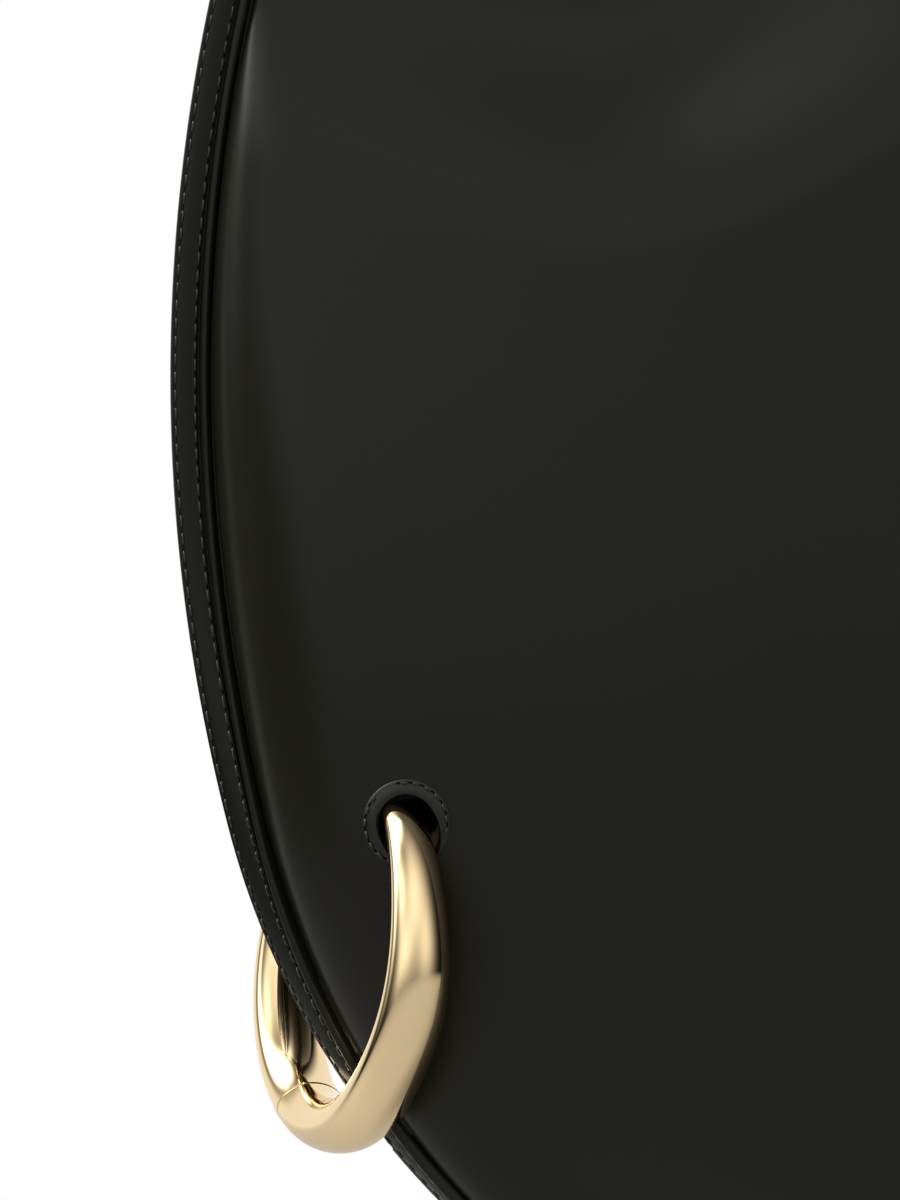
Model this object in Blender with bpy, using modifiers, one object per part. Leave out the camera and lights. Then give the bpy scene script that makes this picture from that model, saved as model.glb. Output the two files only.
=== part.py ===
"""Black leather shoulder bag with a tapered gold ring through a sewn eyelet, in metres, +Z up.

The bag stands on its base with its front panel facing -Y. Both panels are moulded shells that meet
in a thin stitched edge, which opens into a narrow base gusset along the bottom. A strap cut in the
plane of the panels closes the outline above the mouth. The ring passes through a curved, leather
lined eyelet in the lower left corner and round the edge of the bag, and opens at a hinged gate.
"""

import math

import bmesh
import bpy
from mathutils import Matrix, Vector

# Outline of the bag, seen from the front
HALF_WIDTH = 0.170
WIDEST_HEIGHT = 0.178
SIDE_ROUNDNESS = 1.788
CORNER_ROUNDNESS = 0.806
SIDE_RADIUS = HALF_WIDTH * SIDE_ROUNDNESS
CORNER_RADIUS = HALF_WIDTH * CORNER_ROUNDNESS
SHOULDER_RISE = 0.090
STRAP_LAP = 0.034
LEG_START_HEIGHT = WIDEST_HEIGHT + SHOULDER_RISE
PANEL_END_HEIGHT = LEG_START_HEIGHT + STRAP_LAP
ARCH_RADIUS = 0.080

# Sewn edge: the panel's flange lies under a flat strip and a rounded piping
LEATHER = 0.0010
GAP = 0.0003
LEAST_HALF_GAP = 0.0004
STRIP_WIDTH = 0.0045
STRIP_CHAMFER = 0.0003
PIPING_WIDTH = 0.0020
PIPING_RISE = 0.0008
FLANGE_INSET = 0.0003
EDGE_TILT = math.radians(78)
TILT_START_SHARE = 1.241
TILT_START_HEIGHT = CORNER_RADIUS * TILT_START_SHARE

# Base
BASE_HALF_DEPTH = 0.012
GUSSET_TOP_SHARE = 0.4526
GUSSET_TOP_HEIGHT = CORNER_RADIUS * GUSSET_TOP_SHARE
GUSSET_LEATHER = 0.0014
LEAST_GUSSET = 0.0006
BOARD_THICKNESS = 0.0016
BOARD_INSET = 0.0030
LEAST_BOARD = 0.0040

# Depth of the moulded panels
PLATEAU = 0.0155
UPPER_PLATEAU = 0.0070
ROLL_WIDTH = 0.018
UPPER_ROLL_WIDTH = 0.010
ROLL_POWER = 2.0
TAPER_START_SHARE = 0.674
TAPER_START_HEIGHT = WIDEST_HEIGHT * TAPER_START_SHARE
TAPER_LENGTH = 0.150
DOME_DEPTH = 0.0125
DOME_REACH = 0.110
MOUTH_HALF_DEPTH = 0.012
MOUTH_SHARE = 0.7132
SEAT_MARGIN = 0.013
STRAP_SEAT = STRAP_LAP + SEAT_MARGIN
TOP_BLEND = 0.045

# Mouth facings, interlining, lining and pocket
FACING_LEATHER = 0.0010
FACING_FIRST_SHARE = 2
FACING_ROWS = 5
FACING_TOP_SHARE = 0.15
INTERLINING = 0.0008
INTERLINING_FIRST_ROLL = 3
INTERLINING_FIRST_ROW = 7
LINING_CLOTH = 0.0006
LINING_INSET = 0.0105
LINING_CLEARANCE = 0.0049
LINING_ROLL = 0.008
LINING_ROLL_SHARES = (0.0, 0.12, 0.40, 1.0)
LINING_DROP = 0.024
LINING_CORNER_DROP = 0.058
LINING_CORNER_START = 0.433
LINING_CORNER_SHARE = 0.529
LINING_START_DROP = 0.036
LINING_START_HEIGHT = LEG_START_HEIGHT - LINING_START_DROP
POCKET_HALF_WIDTH = 0.055
POCKET_DROP = 0.068
POCKET_DEPTH = 0.078
POCKET_TOP = LEG_START_HEIGHT - POCKET_DROP
POCKET_BOTTOM = POCKET_TOP - POCKET_DEPTH
POCKET_FULLNESS = 0.0025
POCKET_CLOTH = 0.0006
POCKET_CLEARANCE = 0.0006
POCKET_TRIM_HEIGHT = 0.009
POCKET_TRIM_LEATHER = 0.0008

# Magnetic snap
SNAP_RADIUS = 0.0070
SNAP_HEIGHT = 0.0020
SNAP_BOSS_RADIUS = 0.0030
SNAP_BOSS_HEIGHT = 0.0012
SNAP_DROP = 0.016
SNAP_CLEARANCE = 0.0013

# Strap
STRAP_WIDTH = 0.036
STRAP_LEATHER = 0.0016
CORE_INSET = 0.0012

# Ring: a tapered hoop of oval section, thickest below, broader along its axis than across
RING_BEARING = math.radians(26.2)
RING_INSET = 0.0122
RING_FORWARD = 0.0047
RING_RADIUS = 0.0287
RING_LEAN = math.radians(5.6)
RING_TURN = math.radians(67.8)
RING_THIN_RADIUS = 0.0025
RING_THICK_RADIUS = 0.0046
RING_BREADTH = 1.29
RING_TAPER_POWER = 2.8
RING_THICK_ANGLE = math.radians(209.6)
RING_FRONT_TAPER = math.radians(180)
RING_BACK_TAPER = math.radians(95)
RING_SEAM_ANGLE = math.radians(203)
RING_HINGE_ANGLE = math.radians(292)
RING_STEP = math.radians(6)
END_STEP = math.radians(1.2)
SEAM_GAP = 0.00015
KNUCKLE_RADIUS = 0.0030
KNUCKLE_LENGTH = 0.0064
TONGUE_THICKNESS = 0.0018
TONGUE_RADIUS = 0.0021
PIN_RADIUS = 0.0006
PIN_CLEARANCE = 0.0001
TENON_RADIUS = 0.0016
TENON_LENGTH = 0.0007
TENON_CLEARANCE = 0.0007

# Eyelet
EYELET_RADIUS = 0.0048
BACK_EYELET_RADIUS = 0.0039
SLEEVE_LEATHER = 0.0008
EYELET_BORDER = 0.0026
BACK_EYELET_BORDER = 0.0018
EYELET_LEATHER = 0.0006
EYELET_SHIFT = Vector((0.0003, 0.0, 0.0006))
CORE_LOW = 0.030
CORE_HIGH = 0.190
CORE_INSET_FROM_EDGE = 0.0100
CORE_REACH = 0.060
CORE_POINTS = 22

# Fineness of the surfaces
OVERRUN = 0.004
LEG_STATIONS = 4
SIDE_STATIONS = 13
CORNER_STATIONS = 17
BASE_STATIONS = 3
ROLL_SHARES = (0.04, 0.16, 0.38, 0.68, 1.0)
SPINE_SHARES = (0.14, 0.30, 0.48, 0.73, 1.0)
SPINE_LOW_SHARE = 0.33
TOP_FADE_STATIONS = 6
ROUND_SIDES = 24


# Small tools

def smooth(value):
    """Smoothstep of a value, clamped to 0 and 1."""
    value = min(max(value, 0.0), 1.0)
    return value * value * (3 - 2 * value)


def mix(low, high, share):
    return low + (high - low) * share


def ramp(first, last, count):
    """Evenly spaced values from first to last."""
    return [mix(first, last, i / (count - 1)) for i in range(count)]


# Outline: stations on the left half, from the strap end of the panel down to the base centre

SIDE_CENTRE_X = SIDE_RADIUS - HALF_WIDTH
CORNER_CENTRE_X = SIDE_CENTRE_X - math.sqrt(
    (SIDE_RADIUS - CORNER_RADIUS) ** 2 - (WIDEST_HEIGHT - CORNER_RADIUS) ** 2
)
CORNER_JOIN = math.atan2(WIDEST_HEIGHT - CORNER_RADIUS, SIDE_CENTRE_X - CORNER_CENTRE_X)
LEG_LEAN = math.asin((LEG_START_HEIGHT - WIDEST_HEIGHT) / SIDE_RADIUS)
LEG_START_X = SIDE_CENTRE_X - SIDE_RADIUS * math.cos(LEG_LEAN)
PANEL_END_X = LEG_START_X + (PANEL_END_HEIGHT - LEG_START_HEIGHT) * math.tan(LEG_LEAN)
MOUTH_HALF_LENGTH = -PANEL_END_X * MOUTH_SHARE
MOUTH_RADIUS = -PANEL_END_X / math.sin(LEG_LEAN)
MOUTH_HEIGHT = PANEL_END_HEIGHT - MOUTH_RADIUS * (1 - math.cos(LEG_LEAN))
ARCH_HEIGHT = LEG_START_HEIGHT + (
    -LEG_START_X * math.cos(LEG_LEAN) - ARCH_RADIUS
) / math.sin(LEG_LEAN)


def arc_station(centre_x, centre_z, radius, angle):
    """(x, z, inward x, inward z) at an angle measured up from the -X direction."""
    inward_x, inward_z = math.cos(angle), -math.sin(angle)
    return centre_x - radius * inward_x, centre_z - radius * inward_z, inward_x, inward_z


def leg_station(height):
    x = LEG_START_X + (height - LEG_START_HEIGHT) * math.tan(LEG_LEAN)
    return x, height, math.cos(LEG_LEAN), -math.sin(LEG_LEAN)


def outline_stations(leg=LEG_STATIONS, side=SIDE_STATIONS, corner=CORNER_STATIONS, top=None):
    """Stations down the left half of the outline. top starts them lower on the side arc."""
    stations = []
    first_angle = LEG_LEAN
    if top is None:
        heights = ramp(PANEL_END_HEIGHT, LEG_START_HEIGHT, leg)
        stations += [leg_station(height) for height in heights[:-1]]
    else:
        first_angle = math.asin((top - WIDEST_HEIGHT) / SIDE_RADIUS)
    for angle in ramp(first_angle, -CORNER_JOIN, side)[:-1]:
        stations.append(arc_station(SIDE_CENTRE_X, WIDEST_HEIGHT, SIDE_RADIUS, angle))
    for angle in ramp(-CORNER_JOIN, -math.pi / 2, corner)[:-1]:
        stations.append(arc_station(CORNER_CENTRE_X, CORNER_RADIUS, CORNER_RADIUS, angle))
    for x in ramp(CORNER_CENTRE_X, 0.0, BASE_STATIONS):
        stations.append((x, 0.0, 0.0, 1.0))
    return stations


def nearest_edge(x, z):
    """(distance to the outline, height of its nearest point) for a point inside it."""
    x = -abs(x)
    join_line = CORNER_RADIUS + (x - CORNER_CENTRE_X) * math.tan(CORNER_JOIN)
    if z >= join_line:
        centre_x, centre_z, radius = SIDE_CENTRE_X, WIDEST_HEIGHT, SIDE_RADIUS
    elif x < CORNER_CENTRE_X:
        centre_x, centre_z, radius = CORNER_CENTRE_X, CORNER_RADIUS, CORNER_RADIUS
    else:
        return z, 0.0
    out_x, out_z = x - centre_x, z - centre_z
    reach = math.hypot(out_x, out_z)
    if z >= join_line and out_z > reach * math.sin(LEG_LEAN):
        lean_x, lean_z = math.cos(LEG_LEAN), -math.sin(LEG_LEAN)
        away = (x - LEG_START_X) * lean_x + (z - LEG_START_HEIGHT) * lean_z
        return away, z - away * lean_z
    return radius - reach, centre_z + out_z * radius / reach


# Sewn edge: p runs inward across the edge and q out of the leather, both tilted towards the base

FLANGE_TOP = LEATHER
STRIP_BOTTOM = LEATHER + GAP
STRIP_TOP = STRIP_BOTTOM + LEATHER
PIPING_START = STRIP_WIDTH + GAP
PIPING_END = PIPING_START + PIPING_WIDTH
CREASE = PIPING_END + GAP
FLANGE_POINTS = (FLANGE_INSET, STRIP_WIDTH, CREASE)


def edge_tilt(height):
    return EDGE_TILT * smooth((TILT_START_HEIGHT - height) / TILT_START_HEIGHT)


def gusset_half(height):
    """Half the gap between the two flanges: a sewing gap at the sides, the gusset at the base."""
    share = max(0.0, (GUSSET_TOP_HEIGHT - height) / GUSSET_TOP_HEIGHT)
    return LEAST_HALF_GAP + BASE_HALF_DEPTH * share * share


def edge_offsets(height, p, q):
    """(distance in from the outline, half depth) of a point p across and q out of the edge."""
    tilt = edge_tilt(height)
    inward = (STRIP_TOP - q) * math.sin(tilt) + p * math.cos(tilt)
    return inward, gusset_half(height) + p * math.sin(tilt) + q * math.cos(tilt)


def edge_point(station, p, q, side):
    x, z, inward_x, inward_z = station
    inward, depth = edge_offsets(z, p, q)
    return Vector((x + inward_x * inward, side * depth, z + inward_z * inward))


# Depth of the panels

def top_height(x):
    """Height of the panel's upper boundary, one arc from strap to strap."""
    return MOUTH_HEIGHT + MOUTH_RADIUS - math.sqrt(MOUTH_RADIUS ** 2 - x * x)


def roll_width(height):
    upper = smooth((height - TAPER_START_HEIGHT) / TAPER_LENGTH)
    return mix(ROLL_WIDTH, UPPER_ROLL_WIDTH, upper)


def half_depth(x, z):
    """Distance of a panel's outer face from the bag's middle plane."""
    distance, foot = nearest_edge(x, z)
    crease, depth = edge_offsets(foot, CREASE, FLANGE_TOP)
    if distance > crease:
        upper = smooth((z - TAPER_START_HEIGHT) / TAPER_LENGTH)
        dome = 1 - (1 - min(distance / DOME_REACH, 1.0)) ** 2
        plateau = mix(PLATEAU, UPPER_PLATEAU, upper) + gusset_half(z) + DOME_DEPTH * dome
        share = min((distance - crease) / roll_width(z), 1.0)
        rise = (1 - (1 - share) ** ROLL_POWER) ** (1 / ROLL_POWER)
        depth = mix(depth, plateau, rise)
    along = min(abs(x) / MOUTH_HALF_LENGTH, 1.0)
    mouth = LEAST_HALF_GAP + FLANGE_TOP + MOUTH_HALF_DEPTH * (1 - along * along) ** 2
    seat = STRAP_SEAT * smooth(along)
    return mix(mouth, depth, smooth((top_height(x) - z - seat) / TOP_BLEND))


def surface_normal(x, z, side):
    """Outward unit normal of the front (side -1) or back (side 1) panel."""
    step = GAP
    slope_x = (half_depth(x + step, z) - half_depth(x - step, z)) / (2 * step)
    slope_z = (half_depth(x, z + step) - half_depth(x, z - step)) / (2 * step)
    return Vector((-slope_x, side, -slope_z)).normalized()


# Scene and materials

def clear_scene():
    for old in list(bpy.data.objects):
        bpy.data.objects.remove(old, do_unlink=True)


def new_collection(name):
    collection = bpy.data.collections.new(name)
    bpy.context.scene.collection.children.link(collection)
    return collection


def new_material(name, colour, roughness, metallic=0.0):
    material = bpy.data.materials.new(name)
    material.use_nodes = True
    shader = material.node_tree.nodes["Principled BSDF"]
    shader.inputs["Base Color"].default_value = (*colour, 1)
    shader.inputs["Roughness"].default_value = roughness
    shader.inputs["Metallic"].default_value = metallic
    return material


clear_scene()
PARTS = new_collection("leather_shoulder_bag")
CUTTERS = new_collection("cutters")
BLACK_CALF = new_material("black_calf", (0.020, 0.019, 0.017), 0.38)
EDGE_CALF = new_material("edge_calf", (0.024, 0.023, 0.021), 0.34)
FACING_CALF = new_material("facing_calf", (0.030, 0.028, 0.026), 0.45)
BASE_CALF = new_material("base_calf", (0.018, 0.017, 0.016), 0.42)
STRAP_CALF = new_material("strap_calf", (0.021, 0.020, 0.018), 0.38)
CORE_WEB = new_material("core_webbing", (0.10, 0.09, 0.08), 0.85)
LINING_SUEDE = new_material("lining_suede", (0.16, 0.12, 0.09), 0.90)
FELT = new_material("interlining_felt", (0.45, 0.43, 0.40), 0.95)
BOARD = new_material("base_board_fibre", (0.35, 0.28, 0.20), 0.80)
GOLD = new_material("pale_gold", (0.86, 0.70, 0.45), 0.12, 1.0)
STEEL = new_material("hinge_steel", (0.72, 0.62, 0.45), 0.25, 1.0)


def add_object(name, mesh, material, collection=PARTS):
    piece = bpy.data.objects.new(name, mesh)
    collection.objects.link(piece)
    mesh.materials.clear()
    mesh.materials.append(material)
    return piece


def as_cutter(piece):
    for collection in list(piece.users_collection):
        collection.objects.unlink(piece)
    CUTTERS.objects.link(piece)
    piece.hide_render = True
    piece.display_type = "WIRE"
    return piece


def loft(name, rows, material, closed=False, caps=(False, False)):
    """A skin over rows of points, closed round each row and capped at its first and last row."""
    shape = bmesh.new()
    grid = [[shape.verts.new(point) for point in row] for row in rows]
    columns = len(rows[0])
    for row, after in zip(grid, grid[1:]):
        for i in range(columns if closed else columns - 1):
            j = (i + 1) % columns
            shape.faces.new((row[i], row[j], after[j]))
            shape.faces.new((row[i], after[j], after[i]))
    for wanted, row in zip(caps, (grid[0], grid[-1])):
        if wanted:
            shape.faces.new(row)
    bmesh.ops.recalc_face_normals(shape, faces=shape.faces)
    mesh = bpy.data.meshes.new(name)
    shape.to_mesh(mesh)
    shape.free()
    return add_object(name, mesh, material)


def face_along(piece, side):
    """Turns an open sheet's faces so that most of them look along side * Y."""
    total = sum(face.normal.y * face.area for face in piece.data.polygons)
    if total * side < 0:
        piece.data.flip_normals()


def mirror(piece):
    modifier = piece.modifiers.new("Mirror", "MIRROR")
    modifier.use_clip = True
    modifier.merge_threshold = GAP / 10


def thicken(piece, thickness, offset=-1.0):
    modifier = piece.modifiers.new("Solidify", "SOLIDIFY")
    modifier.thickness = thickness
    modifier.offset = offset
    modifier.use_even_offset = True


def boolean(piece, cutter, operation="DIFFERENCE"):
    modifier = piece.modifiers.new("Boolean", "BOOLEAN")
    modifier.object = cutter
    modifier.operation = operation
    modifier.solver = "EXACT"


def smooth_shade(piece, angle=math.radians(40)):
    piece.data.shade_smooth()
    piece.data.set_sharp_from_angle(angle=angle)


def shift_along_normals(piece, distance):
    """Moves every point of an open sheet along its own normal."""
    normals = [vertex.normal.copy() for vertex in piece.data.vertices]
    for vertex, normal in zip(piece.data.vertices, normals):
        vertex.co += normal * distance
        if abs(vertex.co.x) < abs(distance):
            vertex.co.x = 0.0


# Grids over the panels: each row runs from the edge to the bag's vertical middle line

def section_path(station, leads, share, shares):
    """Points (x, z) inward from a station for each lead, then on towards the middle line."""
    x, z, inward_x, inward_z = station
    points = [(x + inward_x * lead, z + inward_z * lead) for lead in leads]
    start_x, start_z = points[-1]
    spine_z = mix(MOUTH_HEIGHT, MOUTH_HEIGHT * SPINE_LOW_SHARE, share)
    points += [(mix(start_x, 0.0, s), mix(start_z, spine_z, s)) for s in shares]
    return points


def sheet_paths(stations, leads_of, shares, top):
    """Section paths of a sheet whose first row follows the curve top(x)."""
    last = len(stations) - 1
    paths = []
    for j, station in enumerate(stations):
        paths.append(section_path(station, leads_of(station), j / last, shares))
    lifts = [top(x) - z for x, z in paths[0]]
    bent = []
    for j, path in enumerate(paths):
        fade = max(0.0, 1 - j / TOP_FADE_STATIONS)
        bent.append([(x, z + lift * fade) for (x, z), lift in zip(path, lifts)])
    return bent


def panel_leads(station):
    foot = station[1]
    crease, _ = edge_offsets(foot, CREASE, FLANGE_TOP)
    return [crease + share * roll_width(foot) for share in ROLL_SHARES]


def panel_rows(side):
    """Rows of the outer face of a panel: flange, crease, rolled edge and front."""
    stations = outline_stations()
    rows = []
    for station, path in zip(
        stations, sheet_paths(stations, panel_leads, SPINE_SHARES, top_height)
    ):
        row = [edge_point(station, p, FLANGE_TOP, side) for p in FLANGE_POINTS]
        row += [Vector((x, side * half_depth(x, z), z)) for x, z in path]
        rows.append(row)
    for point in rows[0][: len(FLANGE_POINTS)]:
        point.z = top_height(point.x)
    return rows


def make_panel(name, side):
    panel = loft(name, panel_rows(side), BLACK_CALF)
    face_along(panel, side)
    mirror(panel)
    thicken(panel, LEATHER)
    smooth_shade(panel)
    return panel


# Pieces sewn on the panels' edges

def edge_sweep(name, profile, side, material):
    """A closed profile of (p, q) points run along the edge below the strap."""
    stations = [s for s in outline_stations() if s[1] < LEG_START_HEIGHT + GAP]
    rows = [[edge_point(s, p, q, side) for p, q in profile] for s in stations]
    piece = loft(name, rows, material, closed=True, caps=(True, False))
    mirror(piece)
    smooth_shade(piece)
    return piece


def strip_profile():
    high = STRIP_TOP - STRIP_CHAMFER
    return (
        (0.0, STRIP_BOTTOM),
        (STRIP_WIDTH, STRIP_BOTTOM),
        (STRIP_WIDTH, high),
        (STRIP_WIDTH - STRIP_CHAMFER, STRIP_TOP),
        (STRIP_CHAMFER, STRIP_TOP),
        (0.0, high),
    )


def piping_profile():
    """A rounded ridge, standing PIPING_RISE above the strip."""
    middle = PIPING_START + PIPING_WIDTH / 2
    height = STRIP_TOP + PIPING_RISE - STRIP_BOTTOM
    points = [(PIPING_START, STRIP_BOTTOM), (PIPING_END, STRIP_BOTTOM)]
    for angle in ramp(0.0, math.pi, 7)[1:-1]:
        across = middle + PIPING_WIDTH / 2 * math.cos(angle)
        points.append((across, STRIP_BOTTOM + height * math.sin(angle) ** (1 / 2)))
    return points


# Base

def base_sheet(name, inward, inset, least, thickness, material):
    """A sheet across the base at a distance inside the outline, ending where it gets narrow."""
    rows = []
    for x, z, inward_x, inward_z in outline_stations():
        half = gusset_half(z) - inset
        if half < least:
            continue
        middle = Vector((x + inward_x * inward, 0.0, z + inward_z * inward))
        rows.append([middle + Vector((0.0, y, 0.0)) for y in ramp(-half, half, 5)])
    sheet = loft(name, rows, material)
    if sum(face.normal.z * face.area for face in sheet.data.polygons) > 0:
        sheet.data.flip_normals()
    mirror(sheet)
    thicken(sheet, thickness)
    smooth_shade(sheet)
    return sheet


# Inside

def inner_sheet(name, side, rows, material, thickness):
    """A sheet behind a panel, from rows of that panel's own grid."""
    inside = []
    for row in rows:
        inside.append([])
        for point in row:
            normal = surface_normal(point.x, point.z, side)
            inside[-1].append(point - normal * (LEATHER + GAP))
            inside[-1][-1].x = min(inside[-1][-1].x, 0.0) if point.x < 0 else 0.0
    sheet = loft(name, inside, material)
    face_along(sheet, side)
    mirror(sheet)
    thicken(sheet, thickness)
    smooth_shade(sheet)
    return sheet


def facing_sheet(name, side):
    """A leather facing behind the panel along the mouth."""
    first = len(FLANGE_POINTS) + len(ROLL_SHARES) + FACING_FIRST_SHARE
    rows = [row[first:] for row in panel_rows(side)[: FACING_ROWS + 1]]
    top = [high.lerp(low, FACING_TOP_SHARE) for high, low in zip(rows[0], rows[1])]
    return inner_sheet(name, side, [top] + rows[1:], FACING_CALF, FACING_LEATHER)


def interlining_sheet(name, side):
    """Felt behind the panel, from its roll to its middle."""
    first = len(FLANGE_POINTS) + INTERLINING_FIRST_ROLL
    rows = [row[first:] for row in panel_rows(side)[INTERLINING_FIRST_ROW:]]
    return inner_sheet(name, side, rows, FELT, INTERLINING)


def lining_corner_drop(x):
    """How much further the lining hangs below the mouth towards the strap seats."""
    along = abs(x) / MOUTH_HALF_LENGTH
    return LINING_CORNER_DROP * smooth((along - LINING_CORNER_START) / LINING_CORNER_SHARE)


def lining_top(x):
    return top_height(x) - LINING_DROP - lining_corner_drop(x)


def inner_stations():
    return outline_stations(side=9, corner=9, top=LINING_START_HEIGHT)


def lining_depth(x, z):
    """Half depth of the lining's outer face, which closes to a seam inside the edge."""
    distance, _ = nearest_edge(x, z)
    share = min(max((distance - LINING_INSET) / LINING_ROLL, 0.0), 1.0)
    rise = (1 - (1 - share) ** 2) ** (1 / 2)
    seam = 2 * (LEAST_HALF_GAP + LINING_CLOTH)
    return mix(seam, max(seam, half_depth(x, z) - LINING_CLEARANCE), rise)


def lining_sheet(name, side):
    stations = inner_stations()
    leads = [LINING_INSET + LINING_ROLL * share for share in LINING_ROLL_SHARES]
    paths = sheet_paths(stations, lambda station: leads, SPINE_SHARES, lining_top)
    rows = [[Vector((x, side * lining_depth(x, z), z)) for x, z in path] for path in paths]
    sheet = loft(name, rows, LINING_SUEDE)
    face_along(sheet, side)
    mirror(sheet)
    thicken(sheet, LINING_CLOTH)
    smooth_shade(sheet)
    return sheet


def pocket_depth(x, z):
    """Half depth of the pocket's face that looks at the lining, fullest at its open top."""
    across = 1 - (x / POCKET_HALF_WIDTH) ** 2
    up = smooth((z - POCKET_BOTTOM) / (POCKET_TOP - POCKET_BOTTOM))
    fullness = POCKET_FULLNESS * across * up
    return lining_depth(x, z) - LINING_CLOTH - POCKET_CLEARANCE - fullness


def pocket_sheet(name, low, high, inset, thickness, material):
    rows = []
    for z in ramp(low, high, 5):
        row = []
        for x in ramp(-POCKET_HALF_WIDTH, 0.0, 6):
            row.append(Vector((x, pocket_depth(x, z) - inset, z)))
        rows.append(row)
    sheet = loft(name, rows, material)
    face_along(sheet, 1)
    mirror(sheet)
    thicken(sheet, thickness)
    smooth_shade(sheet)
    return sheet


# Magnetic snap

def turned(name, profile, material):
    """A solid turned round its own Z from (radius, height) points that run top to bottom."""
    mesh = bpy.data.meshes.new(name)
    edges = [(i, i + 1) for i in range(len(profile) - 1)]
    mesh.from_pydata([(radius, 0.0, height) for radius, height in profile], edges, [])
    piece = add_object(name, mesh, material)
    screw = piece.modifiers.new("Screw", "SCREW")
    screw.steps = ROUND_SIDES
    screw.render_steps = ROUND_SIDES
    screw.use_merge_vertices = True
    screw.merge_threshold = GAP / 10
    screw.use_smooth_shade = True
    return piece


def seat_snap(piece, side):
    """Sits a snap half on the inner face of a facing, its top towards the other half."""
    z = top_height(0.0) - SNAP_DROP
    normal = surface_normal(0.0, z, side)
    depth = LEATHER + GAP + FACING_LEATHER + SNAP_CLEARANCE
    place = Vector((0.0, side * half_depth(0.0, z), z)) - normal * depth
    piece.location = place
    piece.rotation_euler = (-normal).to_track_quat("Z", "X").to_euler()


def make_snap():
    recess = SNAP_BOSS_RADIUS + GAP
    socket = turned(
        "snap_socket",
        (
            (0.0, SNAP_HEIGHT - SNAP_BOSS_HEIGHT),
            (recess, SNAP_HEIGHT - SNAP_BOSS_HEIGHT),
            (recess, SNAP_HEIGHT),
            (SNAP_RADIUS - GAP, SNAP_HEIGHT),
            (SNAP_RADIUS, SNAP_HEIGHT - GAP),
            (SNAP_RADIUS, 0.0),
            (0.0, 0.0),
        ),
        GOLD,
    )
    seat_snap(socket, -1)
    stud = turned(
        "snap_stud",
        (
            (0.0, SNAP_HEIGHT + SNAP_BOSS_HEIGHT),
            (SNAP_BOSS_RADIUS - GAP, SNAP_HEIGHT + SNAP_BOSS_HEIGHT),
            (SNAP_BOSS_RADIUS, SNAP_HEIGHT),
            (SNAP_RADIUS - GAP, SNAP_HEIGHT),
            (SNAP_RADIUS, SNAP_HEIGHT - GAP),
            (SNAP_RADIUS, 0.0),
            (0.0, 0.0),
        ),
        GOLD,
    )
    seat_snap(stud, 1)


# Strap

def strap_side(inset, end_inset):
    """Left half of a line along the strap, inset from the outline, bottom end first."""
    inward_x, inward_z = math.cos(LEG_LEAN), -math.sin(LEG_LEAN)
    along_x, along_z = math.sin(LEG_LEAN), math.cos(LEG_LEAN)
    x = LEG_START_X + inward_x * inset + along_x * end_inset
    z = LEG_START_HEIGHT + inward_z * inset + along_z * end_inset
    points = [(x, z)]
    for angle in ramp(math.pi - LEG_LEAN, math.pi / 2, 12):
        radius = ARCH_RADIUS - inset
        points.append((radius * math.cos(angle), ARCH_HEIGHT + radius * math.sin(angle)))
    return points


def strap_layer(name, inset, end_inset, depths, material):
    """A flat layer of the strap between two depths, cut to the strap's outline."""
    half = strap_side(inset, end_inset)
    outer = half + [(-x, z) for x, z in reversed(half[:-1])]
    half = strap_side(STRAP_WIDTH - inset, end_inset)
    inner = half + [(-x, z) for x, z in reversed(half[:-1])]
    curve = bpy.data.curves.new(name, "CURVE")
    curve.dimensions = "2D"
    curve.fill_mode = "BOTH"
    curve.extrude = abs(depths[1] - depths[0]) / 2
    spline = curve.splines.new("POLY")
    outline = outer + inner[::-1]
    spline.points.add(len(outline) - 1)
    for point, (x, z) in zip(spline.points, outline):
        point.co = (x, z, 0.0, 1.0)
    spline.use_cyclic_u = True
    piece = bpy.data.objects.new(name, curve)
    PARTS.objects.link(piece)
    curve.materials.append(material)
    piece.rotation_euler = (math.pi / 2, 0.0, 0.0)
    piece.location = (0.0, (depths[0] + depths[1]) / 2, 0.0)
    return piece


def make_strap():
    inner = LEAST_HALF_GAP + LEATHER + GAP
    outer = inner + STRAP_LEATHER
    strap_layer("strap_front_layer", 0.0, GAP, (-outer, -inner), STRAP_CALF)
    strap_layer("strap_back_layer", 0.0, GAP, (inner, outer), STRAP_CALF)
    sag = STRAP_WIDTH ** 2 / (2 * MOUTH_RADIUS)
    lap = (PANEL_END_HEIGHT - LEG_START_HEIGHT) / math.cos(LEG_LEAN) + sag + GAP
    core = inner - GAP
    strap_layer("strap_core", CORE_INSET, lap, (-core, core), CORE_WEB)


# Ring: its own frame has X up the ring, Y to its front and Z along its axis

RING_CENTRE = Vector(
    (
        CORNER_CENTRE_X - (CORNER_RADIUS - RING_INSET) * math.cos(RING_BEARING),
        -RING_FORWARD,
        CORNER_RADIUS - (CORNER_RADIUS - RING_INSET) * math.sin(RING_BEARING),
    )
)
RING_UP = Vector((math.sin(RING_LEAN), 0.0, math.cos(RING_LEAN)))
RING_ACROSS = Vector((math.cos(RING_LEAN), 0.0, -math.sin(RING_LEAN)))
RING_FRONT = RING_ACROSS * math.cos(RING_TURN) - Vector((0.0, 1.0, 0.0)) * math.sin(RING_TURN)
RING_AXIS = RING_UP.cross(RING_FRONT)
RING_MATRIX = Matrix.Translation(RING_CENTRE) @ Matrix(
    (RING_UP, RING_FRONT, RING_AXIS)
).transposed().to_4x4()


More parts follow.
